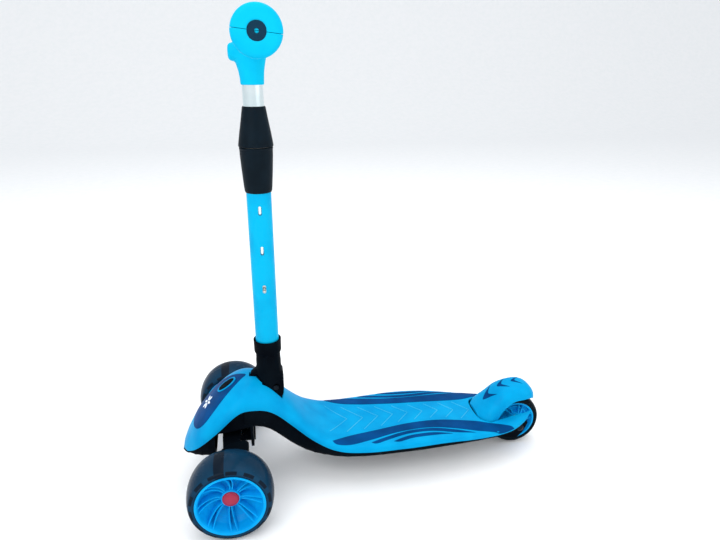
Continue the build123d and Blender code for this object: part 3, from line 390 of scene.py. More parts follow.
def closed_curve(points: Outline, per_span: int = 8) -> list[tuple[float, float]]:
    """Sample a closed Catmull-Rom curve through points.

    Args:
        points: the corners of the loop.
        per_span: samples between two corners.

    Returns:
        Points around the loop.
    """
    result = []
    count = len(points)
    for i in range(count):
        p0, p1, p2, p3 = (Vector(points[(i + k) % count]) for k in (-1, 0, 1, 2))
        for step in range(per_span):
            t = step / per_span
            q = 0.5 * (2 * p1 + (p2 - p0) * t + (2 * p0 - 5 * p1 + 4 * p2 - p3) * t * t
                       + (3 * p1 - p0 - 3 * p2 + p3) * t ** 3)
            result.append((q.x, q.y))
    return result


def open_curve(points: Outline, count: int) -> list[tuple[float, float]]:
    """Sample an open Catmull-Rom curve through points at evenly spaced parameters."""
    padded = [points[0]] + list(points) + [points[-1]]
    result = []
    for step in range(count):
        place = step / (count - 1) * (len(points) - 1)
        i = min(int(place), len(points) - 2)
        t = place - i
        p0, p1, p2, p3 = (Vector(padded[i + k]) for k in range(4))
        q = 0.5 * (2 * p1 + (p2 - p0) * t + (2 * p0 - 5 * p1 + 4 * p2 - p3) * t * t
                   + (3 * p1 - p0 - 3 * p2 + p3) * t ** 3)
        result.append((q.x, q.y))
    return result


def rounded(profile: Outline, radius: float, steps: int = 4) -> list[tuple[float, float]]:
    """Round every inner corner of a profile.

    Args:
        profile: points in order.
        radius: largest radius, less where the sides are short.
        steps: points on each arc.

    Returns:
        The profile with its corners cut to small arcs.
    """
    result = [tuple(profile[0])]
    for before, corner, after in zip(profile, profile[1:], profile[2:]):
        p, c, n = Vector(before), Vector(corner), Vector(after)
        reach = min(radius, (p - c).length * 0.45, (n - c).length * 0.45)
        a, b = c + (p - c).normalized() * reach, c + (n - c).normalized() * reach
        for step in range(steps + 1):
            t = step / steps
            q = a * (1 - t) ** 2 + c * 2 * t * (1 - t) + b * t * t
            result.append((q.x, q.y))
    result.append(tuple(profile[-1]))
    return result


def link(name: str, mesh: bpy.types.Mesh, material: bpy.types.Material, angle: float = 32.0) -> bpy.types.Object:
    """Put a mesh in the scene as one piece, shaded smooth up to an angle.

    Args:
        name: the piece's name.
        mesh: its finished mesh, in metres.
        material: its finish.
        angle: edges sharper than this many degrees stay sharp.

    Returns:
        The object.
    """
    if mesh.materials:
        mesh.materials.clear()
    mesh.materials.append(material)
    obj = bpy.data.objects.new(name, mesh)
    bpy.context.scene.collection.objects.link(obj)
    mesh.shade_smooth()
    mesh.set_sharp_from_angle(angle=math.radians(angle))
    return obj


def from_bmesh(name: str, bm: bmesh.types.BMesh, material: bpy.types.Material, angle: float = 32.0
               ) -> bpy.types.Object:
    """Close a bmesh into a piece, with doubles merged and faces outwards."""
    bmesh.ops.remove_doubles(bm, verts=bm.verts, dist=1e-6)
    bmesh.ops.dissolve_degenerate(bm, edges=bm.edges, dist=1e-7)
    bmesh.ops.recalc_face_normals(bm, faces=bm.faces)
    mesh = bpy.data.meshes.new(name)
    bm.to_mesh(mesh)
    bm.free()
    return link(name, mesh, material, angle)


def bake(obj: bpy.types.Object) -> bpy.types.Object:
    """Turn a piece's modifiers to plain mesh and take them off."""
    graph = bpy.context.evaluated_depsgraph_get()
    mesh = bpy.data.meshes.new_from_object(obj.evaluated_get(graph), preserve_all_data_layers=True,
                                           depsgraph=graph)
    obj.modifiers.clear()
    obj.data = mesh
    return obj


def sweep_loops(loops: Sequence[Sequence[Vector]], closed: bool = False) -> bmesh.types.BMesh:
    """Join rings of points with quads.

    Args:
        loops: rings with the same number of points each, all closed.
        closed: whether the last ring joins the first.

    Returns:
        The surface, open at both ends unless closed.
    """
    bm = bmesh.new()
    rings = [[bm.verts.new(p) for p in loop] for loop in loops]
    pairs = list(zip(rings, rings[1:])) + ([(rings[-1], rings[0])] if closed else [])
    for a, b in pairs:
        for i in range(len(a)):
            j = (i + 1) % len(a)
            bm.faces.new((a[i], a[j], b[j], b[i]))
    return bm


def lathe(name: str, profile: Outline, centre: Vector, material: bpy.types.Material, axis: str = "Y",
          steps: int = 96, angle: float = 32.0) -> bpy.types.Object:
    """Turn a closed profile about an axle.

    Args:
        name: the piece's name.
        profile: (radius, along) corners in mm, closed on itself.
        centre: a point on the axle, in metres.
        material: the finish.
        axis: "Y" for wheels and bars, "Z" for the column.
        steps: faces around.
        angle: smoothing limit in degrees.

    Returns:
        The piece.
    """
    loops = []
    for step in range(steps):
        a = 2 * math.pi * step / steps
        loop = []
        for radius, along in profile:
            r = max(radius, 0.0) * MM
            if axis == "Y":
                loop.append(centre + Vector((r * math.cos(a), along * MM, r * math.sin(a))))
            else:
                loop.append(centre + Vector((r * math.cos(a), r * math.sin(a), along * MM)))
        loops.append(loop)
    return from_bmesh(name, sweep_loops(loops, closed=True), material, angle)


def prism(name: str, outline: Sequence[Vector], push: Vector, material: bpy.types.Material) -> bpy.types.Object:
    """A closed block: an outline and the same outline pushed away, used as a cutter too."""
    bm = bmesh.new()
    low = [bm.verts.new(p) for p in outline]
    high = [bm.verts.new(p + push) for p in outline]
    bm.faces.new(low)
    bm.faces.new(high)
    for i in range(len(low)):
        j = (i + 1) % len(low)
        bm.faces.new((low[i], low[j], high[j], high[i]))
    return from_bmesh(name, bm, material)


def cut(obj: bpy.types.Object, cutters: Iterable[bpy.types.Object]) -> None:
    """Take cutters out of a piece for good.

    Args:
        obj: the piece.
        cutters: closed solids, used up by the cut.
    """
    cutters = list(cutters)
    for cutter in cutters:
        boolean = obj.modifiers.new("cut", "BOOLEAN")
        boolean.operation = "DIFFERENCE"
        boolean.solver = "EXACT"
        boolean.object = cutter
    bake(obj)
    for cutter in cutters:
        bpy.data.objects.remove(cutter)


# ------------------------------------------------------------------ geometry node trees
class Trees:
    """The node trees for what repeats round an axle or follows a path."""

    @staticmethod
    def _new(name: str, sockets: Sequence[tuple[str, str, object]]) -> bpy.types.NodeTree:
        """Start a tree with a geometry input, named inputs, a material input and a geometry output."""
        tree = bpy.data.node_groups.new(name, "GeometryNodeTree")
        tree.interface.new_socket("Geometry", in_out="INPUT", socket_type="NodeSocketGeometry")
        for label, kind, default in sockets:
            socket = tree.interface.new_socket(label, in_out="INPUT", socket_type=kind)
            socket.default_value = default
        tree.interface.new_socket("Finish", in_out="INPUT", socket_type="NodeSocketMaterial")
        tree.interface.new_socket("Geometry", in_out="OUTPUT", socket_type="NodeSocketGeometry")
        return tree

    @classmethod
    def around(cls) -> bpy.types.NodeTree:
        """Repeat the input round the local Y axis, with every second copy turned on by a twin angle."""
        found = bpy.data.node_groups.get("repeat_round_axle")
        if found:
            return found
        tree = cls._new("repeat_round_axle", [("Pairs", "NodeSocketInt", 8), ("Copies", "NodeSocketInt", 2),
                                              ("Twin angle", "NodeSocketFloat", 0.2)])
        source = add_node(tree, "NodeGroupInput")
        pairs, twins = source.outputs["Pairs"], source.outputs["Copies"]
        total = compute(tree, "MULTIPLY", pairs, twins)
        points = add_node(tree, "GeometryNodeMeshLine", {"Offset": (0, 0, 0)}, {"Count": total})
        index = add_node(tree, "GeometryNodeInputIndex").outputs[0]
        pair = compute(tree, "FLOOR", compute(tree, "DIVIDE", index, twins))
        turn = compute(tree, "MULTIPLY", pair, compute(tree, "DIVIDE", 2 * math.pi, pairs))
        lean = compute(tree, "MULTIPLY", compute(tree, "MODULO", index, twins), source.outputs["Twin angle"])
        euler = add_node(tree, "ShaderNodeCombineXYZ", links={1: compute(tree, "ADD", turn, lean)})
        copies = add_node(tree, "GeometryNodeInstanceOnPoints", links={
            "Points": points.outputs[0], "Instance": source.outputs["Geometry"], "Rotation": euler.outputs[0]})
        cls._close(tree, source, copies.outputs[0])
        return tree

    @classmethod
    def bead(cls) -> bpy.types.NodeTree:
        """Run a round bead along the input's edges."""
        found = bpy.data.node_groups.get("bead_along_path")
        if found:
            return found
        tree = cls._new("bead_along_path", [("Radius", "NodeSocketFloat", 0.001),
                                            ("Sides", "NodeSocketInt", 8)])
        source = add_node(tree, "NodeGroupInput")
        path = add_node(tree, "GeometryNodeMeshToCurve", links={0: source.outputs["Geometry"]})
        profile = add_node(tree, "GeometryNodeCurvePrimitiveCircle", links={
            "Resolution": source.outputs["Sides"], "Radius": source.outputs["Radius"]})
        tube = add_node(tree, "GeometryNodeCurveToMesh", {"Fill Caps": True},
                        {"Curve": path.outputs[0], "Profile Curve": profile.outputs[0]})
        cls._close(tree, source, tube.outputs[0])
        return tree

    @staticmethod
    def _close(tree: bpy.types.NodeTree, source: bpy.types.Node, last: bpy.types.NodeSocket) -> None:
        """End a tree in Realize Instances and Set Material."""
        real = add_node(tree, "GeometryNodeRealizeInstances", links={0: last})
        painted = add_node(tree, "GeometryNodeSetMaterial", links={
            "Geometry": real.outputs[0], "Material": source.outputs["Finish"]})
        add_node(tree, "NodeGroupOutput", links={0: painted.outputs[0]})

    @staticmethod
    def run(obj: bpy.types.Object, tree: bpy.types.NodeTree, values: dict, material: bpy.types.Material
            ) -> bpy.types.Object:
        """Apply a tree to a piece with its named inputs, and keep the result as plain mesh.

        Args:
            obj: the piece that feeds the tree.
            tree: one of this class's trees.
            values: inputs by name.
            material: the finish that the tree sets.

        Returns:
            The same object.
        """
        modifier = obj.modifiers.new(tree.name, "NODES")
        modifier.node_group = tree
        for item in tree.interface.items_tree:
            if item.item_type == "SOCKET" and item.in_out == "INPUT":
                if item.name in values:
                    modifier[item.identifier] = values[item.name]
                elif item.name == "Finish":
                    modifier[item.identifier] = material
        obj.update_tag()
        bpy.context.view_layer.update()
        bake(obj)
        mesh = obj.data
        if not mesh.materials or mesh.materials[0] != material:
            mesh.materials.clear()
            mesh.materials.append(material)
        mesh.polygons.foreach_set("material_index", [0] * len(mesh.polygons))
        mesh.shade_smooth()
        mesh.set_sharp_from_angle(angle=math.radians(40))
        return obj


def join(name: str, pieces: Sequence[bpy.types.Object]) -> bpy.types.Object:
    """Merge pieces of one finish into a single object.

    Args:
        name: the joined piece's name.
        pieces: objects at the origin, with one material.

    Returns:
        The joined piece.
    """
    bm = bmesh.new()
    material = pieces[0].data.materials[0]
    for piece in pieces:
        bm.from_mesh(piece.data)
        bpy.data.objects.remove(piece)
    for face in bm.faces:
        face.material_index = 0
    mesh = bpy.data.meshes.new(name)
    bm.to_mesh(mesh)
    bm.free()
    return link(name, mesh, material)


def capped(name: str, loops: Sequence[Sequence[Vector]], material: bpy.types.Material) -> bpy.types.Object:
    """Sweep rings into a piece that is closed at both ends.

    Args:
        name: the piece's name.
        loops: rings with the same number of points each.
        material: its finish.

    Returns:
        The piece.
    """
    bm = sweep_loops(loops)
    bm.verts.ensure_lookup_table()
    size = len(loops[0])
    bm.faces.new([bm.verts[i] for i in range(size)])
    bm.faces.new([bm.verts[i] for i in range(len(bm.verts) - size, len(bm.verts))])
    return from_bmesh(name, bm, material)


def beads(name: str, paths: Sequence[Sequence[Vector]], radius: float, sides: int, finish: Finish
          ) -> bpy.types.Object:
    """Run round beads along open paths.

    Args:
        name: the piece's name.
        paths: points in metres.
        radius: the bead's radius in metres.
        sides: faces round the bead.
        finish: the bead's finish.

    Returns:
        The piece.
    """
    bm = bmesh.new()
    for path in paths:
        verts = [bm.verts.new(point) for point in path]
        for p, q in zip(verts, verts[1:]):
            bm.edges.new((p, q))
    mesh = bpy.data.meshes.new(name)
    bm.to_mesh(mesh)
    bm.free()
    piece = link(name, mesh, finish.material())
    return Trees.run(piece, Trees.bead(), {"Radius": radius, "Sides": sides}, finish.material())


class Body(Enum):
    """The bodies of the frame that carry the pieces."""

    DECK = "deck"
    STEM = "stem"
    CLAMP = "twist_collar"
    BAR = "handlebar"
    TRUCK = "truck"
    FRONT_LEFT = "front_wheel_left"
    FRONT_RIGHT = "front_wheel_right"
    REAR = "rear_wheel"
    BRAKE = "brake"


def hand_over(piece: bpy.types.Object, body: Body, finish: Finish, *nodes: str) -> bpy.types.Object:
    """Put a piece on its body and in place of CAD nodes.

    Args:
        piece: the finished piece.
        body: the body that carries it.
        finish: not used.
        nodes: CAD nodes that it stands for, if any.

    Returns:
        The piece.
    """
    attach(piece, body.value)
    if nodes:
        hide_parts(*nodes)
    return piece


def plate(name: str, upper: Sequence[Sequence[Vector]], lower: Sequence[Sequence[Vector]], closed: bool,
          finish: Finish) -> bpy.types.Object:
    """Build a thin plate between two grids of points.

    Args:
        name: the piece's name.
        upper: rows of points on its face, all of one length.
        lower: the same rows underneath.
        closed: whether each row is a loop.
        finish: its finish.

    Returns:
        The plate, with its rims closed.
    """
    bm = bmesh.new()
    top, low = [], []
    for face_row, under_row in zip(upper, lower):
        top.append([bm.verts.new(point) for point in face_row])
        low.append([bm.verts.new(point) for point in under_row])
    size = len(top[0])
    wrap = size if closed else size - 1
    for layer in (top, low):
        for a, b in zip(layer, layer[1:]):
            for i in range(wrap):
                j = (i + 1) % size
                bm.faces.new((a[i], a[j], b[j], b[i]))
    rims = [(top[-1], low[-1])]
    if not closed:
        rims += [(top[0], low[0]), ([r[0] for r in top], [r[0] for r in low]),
                 ([r[-1] for r in top], [r[-1] for r in low])]
    for above, below in rims:
        count = len(above) if closed else len(above) - 1
        for i in range(count):
            j = (i + 1) % len(above)
            bm.faces.new((above[i], above[j], below[j], below[i]))
    return from_bmesh(name, bm, finish.material(), 40)


def copy_of(node: str, name: str, finish: Finish) -> bpy.types.Object:
    """Copy a CAD node's form into a piece of its own.

    Args:
        node: the CAD node.
        name: the copy's name.
        finish: the copy's finish.

    Returns:
        The copy, at the origin.
    """
    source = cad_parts[node]
    mesh = source.data.copy()
    mesh.transform(source.matrix_world)
    mesh.materials.clear()
    return link(name, mesh, finish.material())


# ------------------------------------------------------------------ places in the frame
@dataclass(frozen=True)
class Places:
    """Points of the fixed frame that the pieces hang on, in metres."""

    front_axle: Vector
    rear_axle: Vector
    wheel_y: float
    column: Vector
    bar: Vector
    box: tuple[Vector, Vector]

    @classmethod
    def read(cls) -> "Places":
        """Take the places from the CAD nodes' boxes."""
        def middle(node: str) -> Vector:
            """Centre of a node's box."""
            low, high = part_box(node)
            return (low + high) / 2

        wheel = middle("front_tyre_right")
        tube = middle("mast_tube")
        return cls(Vector((wheel.x, 0, wheel.z)), middle("rear_tyre"), wheel.y, Vector((tube.x, 0, 0)),
                   middle("cross_tube"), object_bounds())

    def at(self, x: float, y: float, z: float) -> Vector:
        """A point measured in mm from the front axle, across and up."""
        return Vector((self.front_axle.x + x * MM, y * MM, z * MM))


# ------------------------------------------------------------------ the deck
@dataclass(frozen=True)
class DeckSkin:
    """Outer skin of the deck body: arched sections along the scooter."""

    half_width: Knots = ((-74, 14), (-66, 32), (-48, 52), (-15, 61), (28, 53), (60, 45), (88, 41), (130, 58),
                         (180, 72), (265, 78), (330, 74.5), (400, 64.5), (450, 53), (481, 38.5), (494, 31))
    crown: Knots = ((-74, 66), (-66, 84), (-48, 112), (-15, 148), (14, 167), (35, 172), (60, 162), (90, 129),
                    (120, 97), (155, 77.5), (200, 72.5), (285, 73.5), (330, 72.5), (400, 66), (450, 64.5),
                    (481, 71), (494, 75))
    edge: Knots = ((-74, 60), (-66, 66), (-48, 83), (-15, 114), (14, 137), (35, 138), (60, 129), (90, 102),
                   (120, 80), (155, 63.5), (200, 59), (265, 60.5), (330, 60), (400, 53.5), (450, 52),
                   (481, 58), (494, 71))
    squareness: Knots = ((-74, 2.2), (0, 2.2), (60, 2.0), (110, 2.6), (170, 4.5), (400, 4.5), (494, 3.0))
    nose: float = -74.0
    tail: float = 494.0

    def section(self, x: float, inset: float, count: int) -> list[tuple[float, float]]:
        """Evenly spaced points (y, z) over one arched section.

        Args:
            x: station.
            inset: how far the section is drawn in.
            count: number of points from foot to foot.

        Returns:
            The points, from +y to -y.
        """
        width = smooth(self.half_width, x) - inset
        base = smooth(self.edge, x)
        rise = smooth(self.crown, x) - inset - base
        power = 2 / smooth(self.squareness, x)
        fine = []
        for i in range(401):
            a = math.pi * i / 400
            c, s = math.cos(a), math.sin(a)
            fine.append((math.copysign(abs(c) ** power, c) * width, base + max(s, 0) ** power * rise))
        lengths = [0.0]
        for p, q in zip(fine, fine[1:]):
            lengths.append(lengths[-1] + math.dist(p, q))
        points, k = [], 0
        for i in range(count):
            goal = lengths[-1] * i / (count - 1)
            while k < 399 and lengths[k + 1] < goal:
                k += 1
            t = (goal - lengths[k]) / max(lengths[k + 1] - lengths[k], 1e-9)
            points.append(tuple(p + (q - p) * t for p, q in zip(fine[k], fine[k + 1])))
        points[0], points[-1] = (width, base), (-width, base)
        return points

    def height(self, x: float, y: float) -> float:
        """Height of the skin over a point in plan, in mm."""
        n = smooth(self.squareness, x)
        share = min(abs(y) / smooth(self.half_width, x), 0.999)
        base = smooth(self.edge, x)
        return base + (smooth(self.crown, x) - base) * (1 - share ** n) ** (1 / n)

    def point(self, x: float, y: float, lift: float) -> tuple[float, float, float]:
        """A point on the skin lifted along its normal, in mm."""
        d = 0.5
        slope_x = (self.height(x + d, y) - self.height(x - d, y)) / (2 * d)
        slope_y = (self.height(x, y + d) - self.height(x, y - d)) / (2 * d)
        normal = Vector((-slope_x, -slope_y, 1)).normalized()
        return x + normal.x * lift, y + normal.y * lift, self.height(x, y) + normal.z * lift


@dataclass
class DeckBody:
    """Deck cover with its openings, the navy trim on it, its ribs and the black lip under its edge."""

    places: Places
    skin: DeckSkin = field(default_factory=DeckSkin)
    wall: float = 3.0
    arc_points: int = 61
    station_gap: float = 3.2
    trim_lift: float = 0.45
    trim_depth: float = 1.2
    button_x: float = -3.0
    button_slope: float = 34.0
    bezel: tuple[float, float] = (17.0, 11.5)
    rib_radius: float = 0.75
    rib_count: int = 9
    rib_start: float = 168.0
    rib_step: float = 27.0
    rib_reach: Knots = ((150, 40), (200, 38), (285, 26), (338, 24), (400, 30))
    lip_radius: float = 1.5
    waves: tuple = (
        (((153, 58), (184, 46), (235, 36.7), (285, 30), (338, 28.5), (391, 33.4), (417, 41), (457, 51)),
         ((153, 58), (160, 64), (183, 66), (215, 60), (260, 50), (310, 47), (355, 52.5), (395, 59), (430, 59),
          (457, 51))),
        (((213, 66), (240, 58), (275, 50.5), (315, 49.5), (352, 55.5), (385, 62)),
         ((213, 66), (222, 69), (245, 63.5), (275, 57), (310, 56), (350, 61.5), (385, 62))),
        (((248, 69.5), (275, 62), (310, 60), (345, 64.5)),
         ((248, 69.5), (258, 71.5), (280, 67.5), (310, 66), (345, 64.5))),
    )
    panel: tuple = ((27, 0), (20, 8), (8, 19), (-8, 31), (-24, 39), (-38, 40.5), (-49, 33), (-55, 18), (-57, 0),
                    (-55, -18), (-49, -33), (-38, -40.5), (-24, -39), (-8, -31), (8, -19), (20, -8))
    emblem_x: float = -33.2
    emblem_slope: float = 52.0
    petal: tuple[float, float, float] = (7.5, 4.6, 2.2)

    def build(self) -> list[bpy.types.Object]:
        """Make every piece of the deck body.

        Returns:
            The pieces, each on its body.
        """
        cover = self.cover()
        pieces = [cover, self.nose_panel(), self.emblem(), *self.wave_sets(), self.ribs(), self.lip()]
        return pieces

    def cover(self) -> bpy.types.Object:
        """The moulded shell, with the fold joint's opening, the button's hole and the fender well."""
        skin, at = self.skin, self.places.at
        count = int((skin.tail - skin.nose) / self.station_gap)
        stations = [skin.nose + (skin.tail - skin.nose) * i / count for i in range(count + 1)]
        stations = sorted(set(stations + [skin.nose + k for k in (0.4, 1.0, 1.8)]))
        bm = bmesh.new()
        outer_rows, inner_rows = [], []
        inner_start = skin.nose + self.wall
        for x in stations:
            inner_x = max(x, inner_start)
            outer = skin.section(x, 0, self.arc_points)
            inner = skin.section(inner_x, self.wall, self.arc_points)
            outer_rows.append([bm.verts.new(at(x, y, z)) for y, z in outer])
            inner_rows.append([bm.verts.new(at(inner_x, y, z)) for y, z in inner])
        last = self.arc_points - 1
        for rows in (outer_rows, inner_rows):
            for a, b in zip(rows, rows[1:]):
                for i in range(last):
                    bm.faces.new((a[i], a[i + 1], b[i + 1], b[i]))
            bm.faces.new(rows[0])
        for k in range(len(stations) - 1):
            for foot in (0, last):
                bm.faces.new((outer_rows[k][foot], outer_rows[k + 1][foot], inner_rows[k + 1][foot],
                              inner_rows[k][foot]))
        bm.faces.new((outer_rows[0][0], outer_rows[0][last], inner_rows[0][last], inner_rows[0][0]))
        for i in range(last):
            bm.faces.new((outer_rows[-1][i], outer_rows[-1][i + 1], inner_rows[-1][i + 1], inner_rows[-1][i]))
        cover = from_bmesh("deck_shell", bm, Palette.abs_blue.material())
        cut(cover, [self.fender_well(0.0), *self.fold_opening(), self.button_hole(0.0)])
        self.finish(cover, 34)
        return hand_over(cover, Body.DECK, Palette.abs_blue, "deck_cover")

    def finish(self, obj: bpy.types.Object, angle: float, bevel_mm: float = 0.0) -> None:
        """Shade a cut piece smooth and, if asked, ease its sharp edges."""
        if bevel_mm:
            bevel = obj.modifiers.new("ease", "BEVEL")
            bevel.width = bevel_mm * MM
            bevel.segments = 2
            bevel.limit_method = "ANGLE"
            bevel.angle_limit = math.radians(angle)
            bake(obj)
        obj.data.shade_smooth()
        obj.data.set_sharp_from_angle(angle=math.radians(angle))

    def fender_well(self, gap: float) -> bpy.types.Object:
        """Cutter for the opening that the fender and the rear wheel stand in."""
        rear = (self.places.rear_axle.x - self.places.front_axle.x) / MM
        front = [(-67.5 - gap, 32 + gap), (-72.3, 22), (-73.8 - gap, 8)]
        half = [(60, 29.5 + gap), (-15.7, 29.5 + gap), (-35.7, 33 + gap), (-55.7, 40 + gap)] + front
        arc = open_curve([(-55.7, 40 + gap)] + front + [(x, -y) for x, y in reversed(front)]
                         + [(-55.7, -40 - gap)], 33)
        outline = half[:3] + arc + [(x, -y) for x, y in reversed(half[:3])]
        points = [self.places.at(rear + x, y, 20) for x, y in outline]
        return prism("cut_well", points, Vector((0, 0, 180 * MM)), Palette.abs_blue.material())

    def fold_opening(self) -> list[bpy.types.Object]:
        """Cutters for the socket, its swing about the fold pin and the toe's slot."""
        at = self.places.at
        radius, pin_x, pin_z, reach = 21.2, 72.0, 155.0, 21.6
        stem_x = (self.places.column.x - self.places.front_axle.x) / MM
        round_hole = [at(stem_x + radius * math.cos(a), radius * math.sin(a), 130)
                      for a in (2 * math.pi * i / 72 for i in range(72))]
        swing = [at(pin_x + reach * math.cos(a), -radius, pin_z + reach * math.sin(a))
                 for a in (2 * math.pi * i / 72 for i in range(72))]
        box = [at(51, -radius + 0.01, 130), at(77, -radius + 0.01, 130), at(77, radius - 0.01, 130),
               at(51, radius - 0.01, 130)]
        toe = [at(32, -6.5, 130), at(48, -6.5, 130), at(48, 6.5, 130), at(32, 6.5, 130)]
        up = Vector((0, 0, 60 * MM))
        finish = Palette.abs_blue.material()
        return [prism("cut_hole", round_hole, up, finish), prism("cut_box", box, up, finish),
                prism("cut_swing", swing, Vector((0, 2 * radius * MM, 0)), finish),
                prism("cut_toe", toe, up, finish)]

    def button_frame(self) -> Matrix:
        """The button's place: X along the slope, Z out of the nose."""
        slope = math.radians(self.button_slope)
        along = Vector((math.cos(slope), 0, math.sin(slope)))
        out = Vector((-math.sin(slope), 0, math.cos(slope)))
        origin = self.places.at(self.button_x, 0, smooth(self.skin.crown, self.button_x))
        basis = Matrix((along, out.cross(along), out)).transposed().to_4x4()
        return Matrix.Translation(origin) @ basis

    def button_hole(self, gap: float) -> bpy.types.Object:
        """Cutter for the oval hole of the fold button."""
        frame_of = self.button_frame()
        points = []
        for i in range(64):
            a = 2 * math.pi * i / 64
            points.append(frame_of @ Vector(((self.bezel[0] + gap) * math.cos(a) * MM,
                                             (self.bezel[1] + gap) * math.sin(a) * MM, -12 * MM)))
        push = frame_of.to_3x3() @ Vector((0, 0, 30 * MM))
        return prism("cut_button", points, push, Palette.abs_blue.material())

    def patch(self, name: str, rows: Sequence[Outline], closed: bool, finish: Finish,
              lift: Optional[float] = None) -> bpy.types.Object:
        """A thin plate that follows the skin.

        Args:
            name: the piece's name.
            rows: rows of points in plan, all of one length.
            closed: whether each row is a loop.
            finish: the plate's finish.
            lift: height of its face over the cover, or the usual one.

        Returns:
            The plate, its edge turned down into the cover.
        """
        lift = self.trim_lift if lift is None else lift
        top = [[self.places.at(*self.skin.point(x, y, lift)) for x, y in row] for row in rows]
        low = [[self.places.at(*self.skin.point(x, y, lift - self.trim_depth)) for x, y in row] for row in rows]
        return plate(name, top, low, closed, finish)

    def nose_panel(self) -> bpy.types.Object:
        """The navy panel over the nose, with the button's hole."""
        loop = closed_curve(self.panel, 6)
        hub = (-24.0, 0.0)
        rows = []
        for k in range(1, 22):
            share = k / 21
            rows.append([(hub[0] + (x - hub[0]) * share, hub[1] + (y - hub[1]) * share) for x, y in loop])
        rows.insert(0, [hub] * len(loop))
        panel = self.patch("nose_panel_skin", rows, True, Palette.abs_navy)
        cut(panel, [self.button_hole(0.05)])
        self.finish(panel, 40)
        return hand_over(panel, Body.DECK, Palette.abs_navy, "nose_panel")

    def emblem(self) -> bpy.types.Object:
        """A plain flower of six petals that follows the nose panel."""
        slope = math.cos(math.radians(self.emblem_slope))
        out, long, short = self.petal
        petals = []
        for number in range(6):
            turn = 2 * math.pi * number / 6
            rows = []
            for share in (0.02, 0.3, 0.6, 0.85, 1.0):
                row = []
                for i in range(28):
                    a = 2 * math.pi * i / 28
                    u, v = out + long * share * math.cos(a), short * share * math.sin(a)
                    row.append((self.emblem_x + (u * math.cos(turn) - v * math.sin(turn)) * slope,
                                u * math.sin(turn) + v * math.cos(turn)))
                rows.append(row)
            petals.append(self.patch(f"petal_{number}", rows, True, Palette.print_white, 1.1))
        emblem = join("nose_flower", petals)
        return hand_over(emblem, Body.DECK, Palette.print_white, "nose_emblem")

    def wave_sets(self) -> list[bpy.types.Object]:
        """Three waves along each side of the board."""
        made = []
        for side, name in ((-1, "left"), (1, "right")):
            strips = []
            for number, (inner, outer) in enumerate(self.waves):
                a, b = open_curve(inner, 90), open_curve(outer, 90)
                rows = []
                for k in range(9):
                    share = k / 8
                    rows.append([(p[0] + (q[0] - p[0]) * share, side * (p[1] + (q[1] - p[1]) * share))
                                 for p, q in zip(a, b)])
                strips.append(self.patch(f"wave_{name}_{number}", rows, False, Palette.abs_navy))
            waves = join(f"board_waves_{name}", strips)
            hand_over(waves, Body.DECK, Palette.abs_navy, f"inlay_{name}")
            made.append(waves)
        return made

    def ribs(self) -> bpy.types.Object:
        """Fine chevron ribs across the middle of the board, one bead each."""
        paths = []
        for number in range(self.rib_count):
            start = self.rib_start + number * self.rib_step
            reach = smooth(self.rib_reach, start) - 3
            plan = [(start + 0.9 * (reach - abs(y)) - 0.45 * reach, y)
                    for y in (reach * (2 * k / 24 - 1) for k in range(25))]
            paths.append([self.places.at(*self.skin.point(x, y, 0.05)) for x, y in plan])
        return hand_over(beads("board_ribs", paths, self.rib_radius * MM, 8, Palette.abs_rib), Body.DECK,
                         Palette.abs_rib)

    def lip(self) -> bpy.types.Object:
        """The black lip of the chassis that shows all round under the cover's edge."""
        skin = self.skin
        stations = [skin.nose + 0.2 + i * 4.0 for i in range(int((470 - skin.nose) / 4.0))]
        near = [(x, smooth(skin.half_width, x) - 1.0, smooth(skin.edge, x) - 1.1) for x in stations]
        path = [self.places.at(x, -y, z) for x, y, z in reversed(near)] + [self.places.at(*p) for p in near]
        return hand_over(beads("chassis_lip", [path], self.lip_radius * MM, 10, Palette.nylon_black), Body.DECK,
                         Palette.nylon_black)


